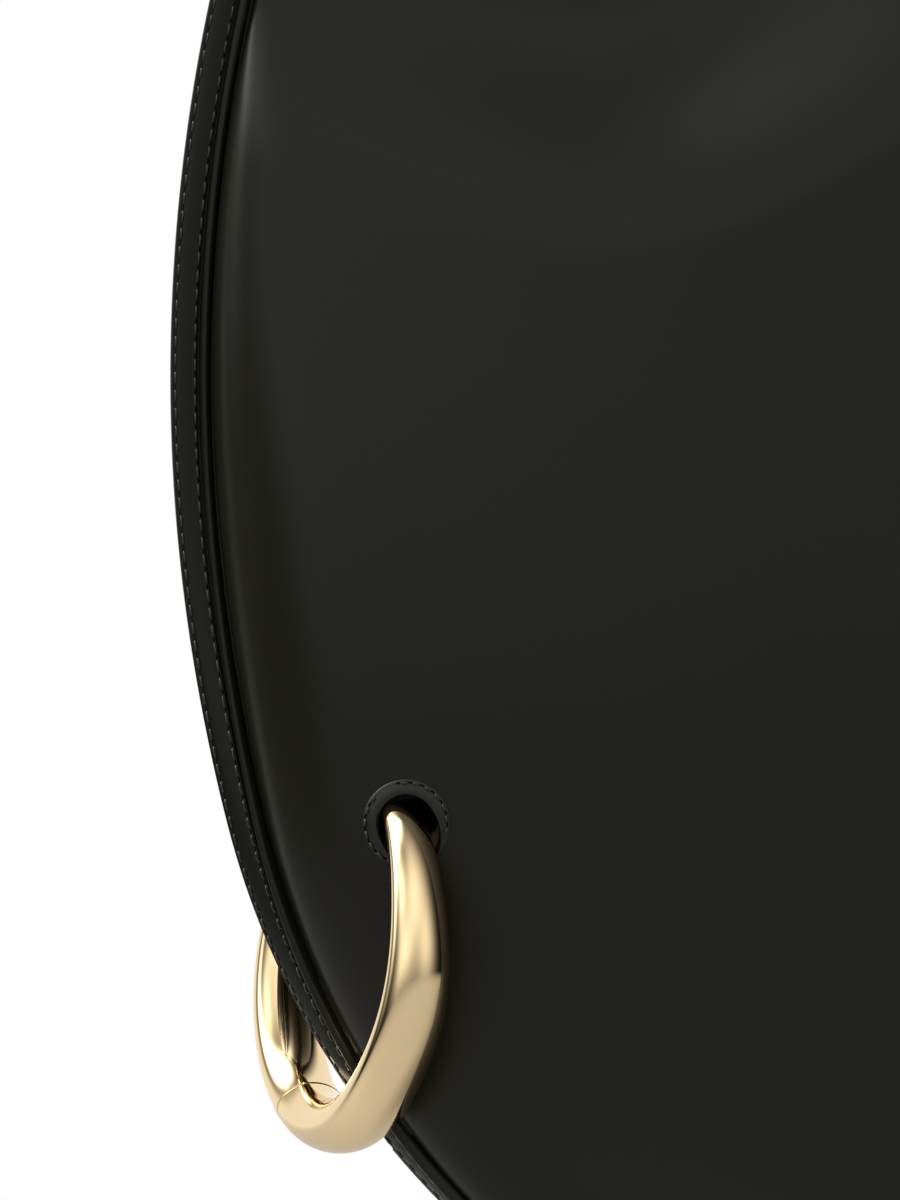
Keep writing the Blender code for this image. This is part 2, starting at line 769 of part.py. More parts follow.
def ring_tube_radius(angle):
    """Half the ring's thickness, which thins faster behind the bag than in front of it."""
    turn = (angle - RING_THICK_ANGLE + math.pi) % (2 * math.pi) - math.pi
    span = RING_BACK_TAPER if turn > 0 else RING_FRONT_TAPER
    share = min(abs(turn) / span, 1.0)
    return mix(RING_THICK_RADIUS, RING_THIN_RADIUS, share ** RING_TAPER_POWER)


def ring_local(angle, radius=RING_RADIUS):
    return Vector((radius * math.cos(angle), radius * math.sin(angle), 0.0))


def arc_tube(name, first, last, radius_of, material, sides=5, breadth=1.0):
    """A tube along the ring's middle line between two angles, as a mesh in the ring's frame."""
    steps = max(2, round(abs(last - first) / RING_STEP) + 1)
    angles = ramp(first, last, steps)
    nudge = math.copysign(END_STEP, last - first)
    angles = [first, first + nudge] + angles[1:-1] + [last - nudge, last]
    curve = bpy.data.curves.new(name, "CURVE")
    curve.dimensions = "3D"
    curve.bevel_depth = 1.0
    curve.bevel_resolution = sides
    curve.use_fill_caps = True
    spline = curve.splines.new("POLY")
    spline.points.add(len(angles) - 1)
    for point, angle in zip(spline.points, angles):
        point.co = (*ring_local(angle), 1.0)
        point.radius = radius_of(angle)
    guide = bpy.data.objects.new(name, curve)
    PARTS.objects.link(guide)
    bpy.context.view_layer.update()
    evaluated = guide.evaluated_get(bpy.context.evaluated_depsgraph_get())
    mesh = bpy.data.meshes.new_from_object(evaluated)
    bpy.data.objects.remove(guide, do_unlink=True)
    mesh.name = name
    shape = bmesh.new()
    shape.from_mesh(mesh)
    bmesh.ops.remove_doubles(shape, verts=shape.verts, dist=GAP / 100)
    bmesh.ops.scale(shape, vec=(1.0, 1.0, breadth), verts=shape.verts)
    bmesh.ops.recalc_face_normals(shape, faces=shape.faces)
    shape.to_mesh(mesh)
    shape.free()
    piece = add_object(name, mesh, material)
    piece.matrix_world = RING_MATRIX
    return piece


def primitive_cylinder(name, radius, depth, matrix, material=GOLD):
    shape = bmesh.new()
    bmesh.ops.create_cone(
        shape, cap_ends=True, segments=ROUND_SIDES, radius1=radius, radius2=radius, depth=depth
    )
    mesh = bpy.data.meshes.new(name)
    shape.to_mesh(mesh)
    shape.free()
    piece = add_object(name, mesh, material)
    piece.matrix_world = matrix
    return piece


def primitive_box(name, size, matrix, material=GOLD):
    shape = bmesh.new()
    bmesh.ops.create_cube(shape, size=1.0)
    bmesh.ops.scale(shape, vec=size, verts=shape.verts)
    mesh = bpy.data.meshes.new(name)
    shape.to_mesh(mesh)
    shape.free()
    piece = add_object(name, mesh, material)
    piece.matrix_world = matrix
    return piece


def tangent_matrix(angle):
    """Frame on the ring's middle line: X along it towards larger angles, Y outward, Z its axis."""
    along = Vector((-math.sin(angle), math.cos(angle), 0.0))
    outward = Vector((math.cos(angle), math.sin(angle), 0.0))
    turn = Matrix((along, outward, along.cross(outward))).transposed().to_4x4()
    return RING_MATRIX @ Matrix.Translation(ring_local(angle)) @ turn


def gate_frame():
    """The hinge's frame: X points from the pin into the gate."""
    return tangent_matrix(RING_HINGE_ANGLE)


def make_ring():
    hinge = gate_frame()
    seam = tangent_matrix(RING_SEAM_ANGLE)
    seam_step = SEAM_GAP / RING_RADIUS
    body = arc_tube(
        "ring_body",
        RING_SEAM_ANGLE - seam_step,
        RING_HINGE_ANGLE - 2 * math.pi,
        ring_tube_radius,
        GOLD,
        sides=6,
        breadth=RING_BREADTH,
    )
    knuckle = as_cutter(
        primitive_cylinder("knuckle_barrel", KNUCKLE_RADIUS, KNUCKLE_LENGTH, hinge)
    )
    boolean(body, knuckle, "UNION")
    slot_reach = TONGUE_RADIUS + GAP
    slot_half = KNUCKLE_RADIUS + OVERRUN
    slot = as_cutter(
        primitive_box(
            "knuckle_slot",
            (slot_reach + slot_half, 2 * slot_half, TONGUE_THICKNESS + 2 * GAP),
            hinge @ Matrix.Translation(((slot_reach - slot_half) / 2, 0.0, 0.0)),
        )
    )
    boolean(body, slot)
    bore = as_cutter(
        primitive_cylinder(
            "pin_bore", PIN_RADIUS + PIN_CLEARANCE, KNUCKLE_LENGTH + OVERRUN, hinge
        )
    )
    boolean(body, bore)
    socket = as_cutter(
        primitive_cylinder(
            "tenon_socket",
            TENON_RADIUS + TENON_CLEARANCE,
            2 * (TENON_LENGTH + TENON_CLEARANCE),
            seam @ Matrix.Rotation(math.pi / 2, 4, "Y"),
        )
    )
    boolean(body, socket)
    smooth_shade(body)

    shoulder = (KNUCKLE_RADIUS + GAP) / RING_RADIUS
    gate = arc_tube(
        "ring_gate",
        RING_SEAM_ANGLE + seam_step,
        RING_HINGE_ANGLE - shoulder,
        ring_tube_radius,
        GOLD,
        sides=6,
        breadth=RING_BREADTH,
    )
    tongue_length = KNUCKLE_RADIUS + 2 * GAP + TONGUE_RADIUS
    tongue = as_cutter(
        primitive_box(
            "tongue_bar",
            (tongue_length, 2 * TONGUE_RADIUS, TONGUE_THICKNESS),
            hinge @ Matrix.Translation((-tongue_length / 2, 0.0, 0.0)),
        )
    )
    boolean(gate, tongue, "UNION")
    eye = as_cutter(
        primitive_cylinder("tongue_eye", TONGUE_RADIUS, TONGUE_THICKNESS, hinge)
    )
    boolean(gate, eye, "UNION")
    boolean(gate, bore)
    tenon = as_cutter(
        primitive_cylinder(
            "gate_tenon",
            TENON_RADIUS,
            2 * TENON_LENGTH,
            seam @ Matrix.Rotation(math.pi / 2, 4, "Y"),
        )
    )
    boolean(gate, tenon, "UNION")
    smooth_shade(gate)

    pin = primitive_cylinder("ring_hinge_pin", PIN_RADIUS, KNUCKLE_LENGTH, hinge, STEEL)
    smooth_shade(pin)
    return body, gate


# Eyelet: a leather sleeve along the ring's path through the bag

def ring_crossing(side):
    """Angle at which the ring's middle line meets the outer face of a panel."""
    low, high = 0.0, -side * math.pi / 2
    for _ in range(40):
        middle = (low + high) / 2
        place = RING_MATRIX @ ring_local(middle)
        if abs(place.y) < half_depth(place.x, place.z):
            low = middle
        else:
            high = middle
    return (low + high) / 2


def bag_core():
    """The room between both panels round the eyelet, as one closed solid that trims the sleeve."""
    rows = []
    for x, z, inward_x, inward_z in outline_stations():
        if not CORE_LOW < z < CORE_HIGH:
            continue
        loop = []
        along = Vector((-inward_z, 0.0, inward_x))
        for side, order in ((-1, 1), (1, -1)):
            for distance in ramp(CORE_INSET_FROM_EDGE, CORE_REACH, CORE_POINTS)[::order]:
                at_x, at_z = x + inward_x * distance, z + inward_z * distance
                face = Vector((at_x, side * half_depth(at_x, at_z), at_z))
                normal = surface_normal(at_x, at_z, side)
                normal -= along * normal.dot(along)
                loop.append(face - normal.normalized() * (LEATHER + GAP))
        rows.append(loop)
    return as_cutter(loft("bag_core", rows, FELT, closed=True, caps=(True, True)))


def eyelet_radius(angle, margin=0.0):
    """Radius of the hole round the ring's middle line, which narrows towards the back."""
    first, last = ring_crossing(1), ring_crossing(-1)
    share = min(max((angle - first) / (last - first), 0.0), 1.0)
    return mix(BACK_EYELET_RADIUS, EYELET_RADIUS, share) + margin


def eyelet_tube(name, overrun, margin, material):
    """A tube along the ring from behind the bag to in front of it."""
    reach = overrun / RING_RADIUS
    tube = arc_tube(
        name,
        ring_crossing(1) - reach,
        ring_crossing(-1) + reach,
        lambda angle: eyelet_radius(angle, margin),
        material,
    )
    tube.matrix_world = Matrix.Translation(EYELET_SHIFT) @ tube.matrix_world
    return tube


def make_eyelet(front, back, layers):
    hole = as_cutter(eyelet_tube("eyelet_hole", 2 * OVERRUN, 0.0, FELT))
    sleeve = eyelet_tube("eyelet_sleeve", OVERRUN, SLEEVE_LEATHER, FACING_CALF)
    boolean(sleeve, bag_core(), "INTERSECT")
    boolean(sleeve, hole)
    smooth_shade(sleeve)
    passage = as_cutter(eyelet_tube("sleeve_passage", 2 * OVERRUN, SLEEVE_LEATHER + GAP, FELT))
    for panel, name, side, border in (
        (front, "front_eyelet_facing", -1, EYELET_BORDER),
        (back, "back_eyelet_facing", 1, BACK_EYELET_BORDER),
    ):
        boolean(panel, hole)
        boolean(eyelet_facing(name, side, border), hole)
    for layer in layers:
        boolean(layer, passage)


def eyelet_facing(name, side, border):
    """An oval leather patch sewn on a panel round the hole, following its surface."""
    angle = ring_crossing(side)
    radius = eyelet_radius(angle)
    centre = RING_MATRIX @ ring_local(angle) + EYELET_SHIFT
    run = RING_MATRIX.to_3x3() @ Vector((-math.sin(angle), math.cos(angle), 0.0))
    normal = surface_normal(centre.x, centre.z, side)
    slant = abs(run.dot(normal))
    along = Vector((run.x, run.z)) - Vector((normal.x, normal.z)) * run.dot(normal)
    along.normalize()
    across = Vector((-along.y, along.x))
    rows = []
    for share in (0.45, 0.72, 1.0):
        row = []
        for i in range(ROUND_SIDES):
            turn = 2 * math.pi * i / ROUND_SIDES
            long_half = (radius / slant + border) * share * math.cos(turn)
            wide_half = (radius + border) * share * math.sin(turn)
            x = centre.x + along.x * long_half + across.x * wide_half
            z = centre.z + along.y * long_half + across.y * wide_half
            row.append(Vector((x, side * half_depth(x, z), z)))
        rows.append(row)
    facing = loft(name, rows, FACING_CALF, closed=True)
    face_along(facing, side)
    shift_along_normals(facing, GAP)
    thicken(facing, EYELET_LEATHER, offset=1.0)
    smooth_shade(facing)
    return facing


# Assembly

front_panel = make_panel("front_panel", -1)
back_panel = make_panel("back_panel", 1)
for label, direction in (("front", -1), ("back", 1)):
    edge_sweep(f"{label}_edge_strip", strip_profile(), direction, EDGE_CALF)
    edge_sweep(f"{label}_edge_piping", piping_profile(), direction, EDGE_CALF)
    facing_sheet(f"{label}_mouth_facing", direction)
inner_layers = (
    interlining_sheet("front_interlining", -1),
    interlining_sheet("back_interlining", 1),
    lining_sheet("front_lining", -1),
    lining_sheet("back_lining", 1),
)
base_sheet("base_gusset", 0.0, GAP, LEAST_GUSSET, GUSSET_LEATHER, BASE_CALF)
base_sheet(
    "base_board", GUSSET_LEATHER + GAP, BOARD_INSET, LEAST_BOARD, BOARD_THICKNESS, BOARD
)
pocket_sheet("slip_pocket", POCKET_BOTTOM, POCKET_TOP, 0.0, POCKET_CLOTH, LINING_SUEDE)
pocket_sheet(
    "pocket_trim",
    POCKET_TOP - POCKET_TRIM_HEIGHT,
    POCKET_TOP,
    POCKET_CLOTH + GAP,
    POCKET_TRIM_LEATHER,
    FACING_CALF,
)
make_snap()
make_strap()
make_ring()
make_eyelet(front_panel, back_panel, inner_layers)


def centre_on_origin():
    """Moves everything so that the middle of the whole object's base lies on the origin."""
    bpy.context.view_layer.update()
    graph = bpy.context.evaluated_depsgraph_get()
    low, high = Vector((math.inf,) * 3), Vector((-math.inf,) * 3)
    for piece in PARTS.objects:
        evaluated = piece.evaluated_get(graph)
        for vertex in evaluated.to_mesh().vertices:
            place = evaluated.matrix_world @ vertex.co
            low = Vector(map(min, low, place))
            high = Vector(map(max, high, place))
        evaluated.to_mesh_clear()
    shift = Vector((-(low.x + high.x) / 2, -(low.y + high.y) / 2, -low.z))
    for piece in list(PARTS.objects) + list(CUTTERS.objects):
        piece.matrix_world = Matrix.Translation(shift) @ piece.matrix_world


centre_on_origin()
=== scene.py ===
"""Looks of the black leather shoulder bag, in metres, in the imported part's own frame.

Each soft piece is a finer skin over the same form as its solid: moulded panels, a crowned and
stitched edge, the eyelet's sewn facing, the base, the lining, the pocket and the strap. The ring is
rebuilt with a smooth tube. Materials are procedural: calf with a fine grain, polished pale gold,
suede and thread.
"""

from math import asin, atan2, copysign, cos, hypot, pi, radians, sin, sqrt, tan

import bmesh
import bpy
from mathutils import Matrix, Vector


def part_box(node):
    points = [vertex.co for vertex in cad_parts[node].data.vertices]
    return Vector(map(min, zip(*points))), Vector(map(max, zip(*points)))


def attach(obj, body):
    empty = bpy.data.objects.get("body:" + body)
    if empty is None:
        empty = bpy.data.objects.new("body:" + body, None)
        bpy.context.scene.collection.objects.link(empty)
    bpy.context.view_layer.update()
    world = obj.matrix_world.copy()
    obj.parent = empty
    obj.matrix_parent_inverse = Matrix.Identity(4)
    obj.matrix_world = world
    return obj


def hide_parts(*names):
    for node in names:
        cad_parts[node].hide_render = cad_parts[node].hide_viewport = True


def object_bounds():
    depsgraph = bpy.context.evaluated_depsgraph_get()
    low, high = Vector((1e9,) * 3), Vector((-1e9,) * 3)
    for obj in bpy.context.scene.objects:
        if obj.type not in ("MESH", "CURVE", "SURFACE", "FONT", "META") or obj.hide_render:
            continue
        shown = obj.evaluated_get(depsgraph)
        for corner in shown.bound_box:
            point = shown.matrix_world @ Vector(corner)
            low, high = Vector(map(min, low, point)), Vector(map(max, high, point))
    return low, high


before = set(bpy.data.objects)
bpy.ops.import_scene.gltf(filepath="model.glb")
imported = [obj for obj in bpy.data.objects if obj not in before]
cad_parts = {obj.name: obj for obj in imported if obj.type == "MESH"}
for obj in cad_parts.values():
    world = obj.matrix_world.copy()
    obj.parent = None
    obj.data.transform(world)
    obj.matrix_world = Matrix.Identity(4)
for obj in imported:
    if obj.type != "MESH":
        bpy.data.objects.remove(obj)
cad_box = [list(corner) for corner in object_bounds()]
scene = bpy.context.scene

# Photograph: what it shows at its centre, and its height in metres
PHOTO_CENTRE = (-0.1234, 0.1408)
PHOTO_HEIGHT = 0.200
CAMERA_DISTANCE = 2.4
CAMERA_SENSOR = 0.024
CAMERA_REACH = 20.0

# Studio: (azimuth, elevation, tightness, strength) of each soft light
SOFT_LIGHTS = (
    (0, 5, 12, 0.38),
    (0, 35, 12, 1.05),
    (0, 65, 12, 0.60),
    (40, 10, 12, 1.00),
    (40, 45, 12, 0.55),
    (340, 10, 24, 0.72),
    (320, 8, 24, 1.05),
    (300, 8, 24, 0.25),
    (325, 35, 24, 0.40),
    (300, 35, 24, 1.80),
    (264, 15, 60, 2.0),
    (262, 32, 60, 9.0),
    (260, 50, 60, 19.0),
    (256, 66, 60, 10.0),
)
BACKDROP_START = 0.35
BACKDROP_FULL = 0.65
FLOOR_HALF = 0.8
FLOOR_DROP = 0.0005
FLOOR_CLEAR = 0.22
FLOOR_EDGE = 0.72
FLOOR_TONE = 0.48
FLOOR_TONE_SEEN = 0.82

# Outline, as in the solids
HALF_WIDTH = 0.170
WIDEST_HEIGHT = 0.178
SIDE_RADIUS = HALF_WIDTH * 1.788
CORNER_RADIUS = HALF_WIDTH * 0.806
LEG_START_HEIGHT = 0.268
PANEL_END_HEIGHT = 0.302
ARCH_RADIUS = 0.080

# Sewn edge
LEATHER = 0.0010
GAP = 0.0003
LEAST_HALF_GAP = 0.0004
STRIP_WIDTH = 0.0045
PIPING_WIDTH = 0.0020
PIPING_RISE = 0.0008
LIP_FULLNESS = 0.95
STRIP_SOFTENING = 0.0004
FLANGE_INSET = 0.0003
FILL_CLEARANCE = 0.00003
EDGE_TILT = radians(78)
TILT_START_HEIGHT = CORNER_RADIUS * 1.241

# Base
BASE_HALF_DEPTH = 0.012
GUSSET_TOP_HEIGHT = CORNER_RADIUS * 0.4526
GUSSET_LEATHER = 0.0014
LEAST_GUSSET = 0.0006
BOARD_THICKNESS = 0.0016
BOARD_INSET = 0.0030
LEAST_BOARD = 0.0040
BASE_BOW = 0.0004

# Depth of the moulded panels
PLATEAU = 0.0155
UPPER_PLATEAU = 0.0070
ROLL_WIDTH = 0.018
UPPER_ROLL_WIDTH = 0.010
ROLL_POWER = 2.0
UPPER_ROLL_POWER = 3.0
TIGHT_ROLL_START = 0.145
TIGHT_ROLL_LENGTH = 0.085
TAPER_START_HEIGHT = WIDEST_HEIGHT * 0.674
TAPER_LENGTH = 0.150
DOME_DEPTH = 0.0125
DOME_REACH = 0.110
MOUTH_HALF_DEPTH = 0.012
MOUTH_SHARE = 0.7132
STRAP_SEAT = 0.047
TOP_BLEND = 0.045

# Inside
FACING_LEATHER = 0.0010
FACING_HEIGHT = 0.026
SHEET_SOFTENING = 0.0003
INTERLINING = 0.0008
LINING_CLOTH = 0.0006
LINING_INSET = 0.0105
LINING_CLEARANCE = 0.0049
LINING_ROLL = 0.008
LINING_DROP = 0.024
LINING_CORNER_DROP = 0.058
LINING_CORNER_START = 0.433
LINING_CORNER_SHARE = 0.529
LINING_START_HEIGHT = 0.232
LINING_FOLD = 0.0006
FOLD_FADE = 0.03
POCKET_HALF_WIDTH = 0.055
POCKET_BOTTOM = 0.122
POCKET_TOP = 0.200
POCKET_FULLNESS = 0.0025
POCKET_CLOTH = 0.0006
POCKET_CLEARANCE = 0.0006
POCKET_TRIM_HEIGHT = 0.009
POCKET_TRIM_LEATHER = 0.0008
POCKET_STITCH_INSET = 0.0016

# Magnetic snap
SNAP_RADIUS = 0.0070
SNAP_HEIGHT = 0.0020
SNAP_BOSS_RADIUS = 0.0030
SNAP_BOSS_HEIGHT = 0.0012
SNAP_DROP = 0.016
SNAP_CLEARANCE = 0.0013

# Strap
STRAP_WIDTH = 0.036
STRAP_LEATHER = 0.0016
STRAP_SOFTENING = 0.0005
CORE_INSET = 0.0004

# Ring
RING_BEARING = radians(26.2)
RING_INSET = 0.0122
RING_FORWARD = 0.0047
RING_RADIUS = 0.0287
RING_LEAN = radians(5.6)
RING_TURN = radians(67.8)
RING_THIN_RADIUS = 0.0025
RING_THICK_RADIUS = 0.0046
RING_BREADTH = 1.29
RING_FRONT_ANGLE = radians(100)
RING_FRONT_REACH = radians(40)
RING_FRONT_BREADTH = 0.06
RING_FRONT_SWAY = 0.0006
RING_TAPER_POWER = 2.8
RING_THICK_ANGLE = radians(209.6)
RING_FRONT_TAPER = radians(180)
RING_BACK_TAPER = radians(95)
RING_SEAM_ANGLE = radians(203)
RING_HINGE_ANGLE = radians(292)
RING_STEP = radians(1.2)
SEAM_GAP = 0.00010
SEAM_SOFTENING = 0.00025
KNUCKLE_RADIUS = 0.0030
KNUCKLE_LENGTH = 0.0064
TONGUE_THICKNESS = 0.0018
TONGUE_RADIUS = 0.0021
PIN_RADIUS = 0.0006

# Eyelet
EYELET_RADIUS = 0.0048
BACK_EYELET_RADIUS = 0.0039
SLEEVE_LEATHER = 0.0008
EYELET_BORDER = 0.0026
BACK_EYELET_BORDER = 0.0018
EYELET_LEATHER = 0.0006
FACING_HOLE = 0.0047
FACING_SKIN = 0.0002
BACK_FACING_EASE = 0.00025
TUNNEL_EASE = 0.0003
TUNNEL_RECESS = 0.0004
TUNNEL_OVERRUN = 0.008
RING_PATH_LENGTH = 0.012
EYELET_SHIFT = Vector((0.0003, 0.0, 0.0006))

# Thread
STITCH_PITCH = 0.0030
STITCH_LENGTH = 0.0021
STITCH_RADIUS = 0.00022
EYELET_PITCH = 0.0020
EYELET_ROW_SHARE = 0.78
OUTER_ROW = 0.0009
INNER_ROW = 0.0041
STRAP_ROW = 0.0026
MOUTH_STITCH_DROP = 0.0026
NEEDLE_HOLE = 0.00026

# Fineness
SHARP_ANGLE = radians(50)
CUT_SHARP_ANGLE = radians(40)
TURNED_SIDES = 64
PIN_SIDES = 32
HINGE_SIDES = 48
CROSSING_STEPS = 40
PIPING_POINTS = 19
STITCH_RINGS = 7
RING_SIDES = 64
EYELET_SIDES = 96
FACING_ROWS = 12
FACING_COLUMNS = 26
POCKET_ROWS = 18
POCKET_COLUMNS = 28
BASE_COLUMNS = 15
STRAP_ROWS = 90
LEG_STATIONS = 10
SIDE_STATIONS = 64
CORNER_STATIONS = 72
BASE_STATIONS = 8
ROLL_POINTS = 16
LINING_POINTS = 8
SPINE_POINTS = 22
SPINE_LOW_SHARE = 0.33
TOP_FADE_STATIONS = 24


# Small tools

def smooth(value):
    value = min(max(value, 0.0), 1.0)
    return value * value * (3 - 2 * value)


def mix(low, high, share):
    return low + (high - low) * share


def ramp(first, last, count):
    return [mix(first, last, i / (count - 1)) for i in range(count)]


def circle(count):
    """(cosine, sine) of equal steps round a full turn."""
    turns = [2 * pi * i / count for i in range(count)]
    return [(cos(turn), sin(turn)) for turn in turns]


STITCH_SIDES = circle(6)
HOLE_SIDES = circle(10)
SIDES = (("front", -1), ("back", 1))
MIRRORS = (Vector((1, 1, 1)), Vector((-1, 1, 1)))
base_low, base_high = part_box("base_gusset")
MIDDLE_Y = (base_low[1] + base_high[1]) / 2
SHIFT = Vector((0.0, MIDDLE_Y, 0.0))


# Outline

SIDE_CENTRE_X = SIDE_RADIUS - HALF_WIDTH
CORNER_CENTRE_X = SIDE_CENTRE_X - sqrt(
    (SIDE_RADIUS - CORNER_RADIUS) ** 2 - (WIDEST_HEIGHT - CORNER_RADIUS) ** 2
)
CORNER_JOIN = atan2(WIDEST_HEIGHT - CORNER_RADIUS, SIDE_CENTRE_X - CORNER_CENTRE_X)
LEG_LEAN = asin((LEG_START_HEIGHT - WIDEST_HEIGHT) / SIDE_RADIUS)
LEG_START_X = SIDE_CENTRE_X - SIDE_RADIUS * cos(LEG_LEAN)
PANEL_END_X = LEG_START_X + (PANEL_END_HEIGHT - LEG_START_HEIGHT) * tan(LEG_LEAN)
MOUTH_HALF_LENGTH = -PANEL_END_X * MOUTH_SHARE
MOUTH_RADIUS = -PANEL_END_X / sin(LEG_LEAN)
MOUTH_HEIGHT = PANEL_END_HEIGHT - MOUTH_RADIUS * (1 - cos(LEG_LEAN))
ARCH_HEIGHT = LEG_START_HEIGHT + (-LEG_START_X * cos(LEG_LEAN) - ARCH_RADIUS) / sin(LEG_LEAN)
LEG_INWARD = (cos(LEG_LEAN), -sin(LEG_LEAN))
SIDE_ARC = (SIDE_CENTRE_X, WIDEST_HEIGHT, SIDE_RADIUS)
CORNER_ARC = (CORNER_CENTRE_X, CORNER_RADIUS, CORNER_RADIUS)
SIDE_LENGTH = SIDE_RADIUS * (LEG_LEAN + CORNER_JOIN)
CORNER_LENGTH = CORNER_RADIUS * (pi / 2 - CORNER_JOIN)
SEWN_LENGTH = SIDE_LENGTH + CORNER_LENGTH - CORNER_CENTRE_X


def arc_station(arc, angle):
    centre_x, centre_z, radius = arc
    inward_x, inward_z = cos(angle), -sin(angle)
    return centre_x - radius * inward_x, centre_z - radius * inward_z, inward_x, inward_z


def leg_station(height):
    return LEG_START_X + (height - LEG_START_HEIGHT) * tan(LEG_LEAN), height, *LEG_INWARD


def outline_stations(top=None):
    """Stations down the left half of the outline: (x, z, inward x, inward z)."""
    first_angle = LEG_LEAN
    stations = []
    if top is None:
        heights = ramp(PANEL_END_HEIGHT, LEG_START_HEIGHT, LEG_STATIONS)
        stations += [leg_station(height) for height in heights[:-1]]
    else:
        first_angle = asin((top - WIDEST_HEIGHT) / SIDE_RADIUS)
    for arc, first, last, count in (
        (SIDE_ARC, first_angle, -CORNER_JOIN, SIDE_STATIONS),
        (CORNER_ARC, -CORNER_JOIN, -pi / 2, CORNER_STATIONS),
    ):
        stations += [arc_station(arc, angle) for angle in ramp(first, last, count)[:-1]]
    return stations + [(x, 0.0, 0.0, 1.0) for x in ramp(CORNER_CENTRE_X, 0.0, BASE_STATIONS)]


def station_at(distance):
    """The station at a length along the outline, measured from the strap's end of the sewn edge."""
    if distance < SIDE_LENGTH:
        return arc_station(SIDE_ARC, LEG_LEAN - distance / SIDE_RADIUS)
    distance -= SIDE_LENGTH
    if distance < CORNER_LENGTH:
        return arc_station(CORNER_ARC, -CORNER_JOIN - distance / CORNER_RADIUS)
    distance -= CORNER_LENGTH
    return min(CORNER_CENTRE_X + distance, 0.0), 0.0, 0.0, 1.0


def nearest_edge(x, z):
    """(distance to the outline, height of its nearest point) for a point inside it."""
    x = -abs(x)
    join_line = CORNER_RADIUS + (x - CORNER_CENTRE_X) * tan(CORNER_JOIN)
    if z >= join_line:
        centre_x, centre_z, radius = SIDE_ARC
    elif x < CORNER_CENTRE_X:
        centre_x, centre_z, radius = CORNER_ARC
    else:
        return z, 0.0
    out_x, out_z = x - centre_x, z - centre_z
    reach = hypot(out_x, out_z)
    if z >= join_line and out_z > reach * sin(LEG_LEAN):
        lean_x, lean_z = LEG_INWARD
        away = (x - LEG_START_X) * lean_x + (z - LEG_START_HEIGHT) * lean_z
        return away, z - away * lean_z
    return radius - reach, centre_z + out_z * radius / reach


# Sewn edge: p runs inward across the edge and q out of the leather

FLANGE_TOP = LEATHER
STRIP_BOTTOM = LEATHER + GAP
STRIP_TOP = STRIP_BOTTOM + LEATHER
PIPING_START = STRIP_WIDTH + GAP
PIPING_END = PIPING_START + PIPING_WIDTH
CREASE = PIPING_END + GAP


def edge_tilt(height):
    return EDGE_TILT * smooth((TILT_START_HEIGHT - height) / TILT_START_HEIGHT)


def gusset_half(height):
    share = max(0.0, (GUSSET_TOP_HEIGHT - height) / GUSSET_TOP_HEIGHT)
    return LEAST_HALF_GAP + BASE_HALF_DEPTH * share * share


def edge_offsets(height, p, q):
    tilt = edge_tilt(height)
    inward = (STRIP_TOP - q) * sin(tilt) + p * cos(tilt)
    return inward, gusset_half(height) + p * sin(tilt) + q * cos(tilt)


def edge_point(station, p, q, side):
    x, z, inward_x, inward_z = station
    inward, depth = edge_offsets(z, p, q)
    return Vector((x + inward_x * inward, side * depth, z + inward_z * inward))


# Depth of the panels

def top_height(x):
    return MOUTH_HEIGHT + MOUTH_RADIUS - sqrt(MOUTH_RADIUS ** 2 - x * x)


def roll_width(height):
    upper = smooth((height - TAPER_START_HEIGHT) / TAPER_LENGTH)
    return mix(ROLL_WIDTH, UPPER_ROLL_WIDTH, upper)


def half_depth(x, z):
    """Distance of a panel's outer face from the bag's middle plane."""
    distance, foot = nearest_edge(x, z)
    crease, depth = edge_offsets(foot, CREASE, FLANGE_TOP)
    if distance > crease:
        upper = smooth((z - TAPER_START_HEIGHT) / TAPER_LENGTH)
        dome = 1 - (1 - min(distance / DOME_REACH, 1.0)) ** 2
        plateau = mix(PLATEAU, UPPER_PLATEAU, upper) + gusset_half(z) + DOME_DEPTH * dome
        share = min((distance - crease) / roll_width(z), 1.0)
        power = mix(ROLL_POWER, UPPER_ROLL_POWER, smooth((z - TIGHT_ROLL_START) / TIGHT_ROLL_LENGTH))
        rise = (1 - (1 - share) ** power) ** (1 / power)
        depth = mix(depth, plateau, rise)
    along = min(abs(x) / MOUTH_HALF_LENGTH, 1.0)
    mouth = LEAST_HALF_GAP + FLANGE_TOP + MOUTH_HALF_DEPTH * (1 - along * along) ** 2
    seat = STRAP_SEAT * smooth(along)
    return mix(mouth, depth, smooth((top_height(x) - z - seat) / TOP_BLEND))


def surface_normal(x, z, side):
    step = GAP
    slope_x = (half_depth(x + step, z) - half_depth(x - step, z)) / (2 * step)
    slope_z = (half_depth(x, z + step) - half_depth(x, z - step)) / (2 * step)
    return Vector((-slope_x, side, -slope_z)).normalized()


# Mesh tools

def add_object(name, data):
    piece = bpy.data.objects.new(name, data)
    scene.collection.objects.link(piece)
    return piece


def mesh_object(name, shape, material, body="bag", replaced=()):
    mesh = bpy.data.meshes.new(name)
    shape.to_mesh(mesh)
    shape.free()
    piece = add_object(name, mesh)
    mesh.materials.append(material)
    mesh.shade_smooth()
    mesh.set_sharp_from_angle(angle=SHARP_ANGLE)
    if body:
        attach(piece, body)
    if replaced:
        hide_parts(*replaced)
    return piece


def discard(piece):
    bpy.data.objects.remove(piece, do_unlink=True)


def skin(shape, grid, closed):
    """Faces between neighbouring rows of vertices."""
    for row, after in zip(grid, grid[1:]):
        for i in range(len(row) if closed else len(row) - 1):
            j = (i + 1) % len(row)
            shape.faces.new((row[i], row[j], after[j], after[i]))


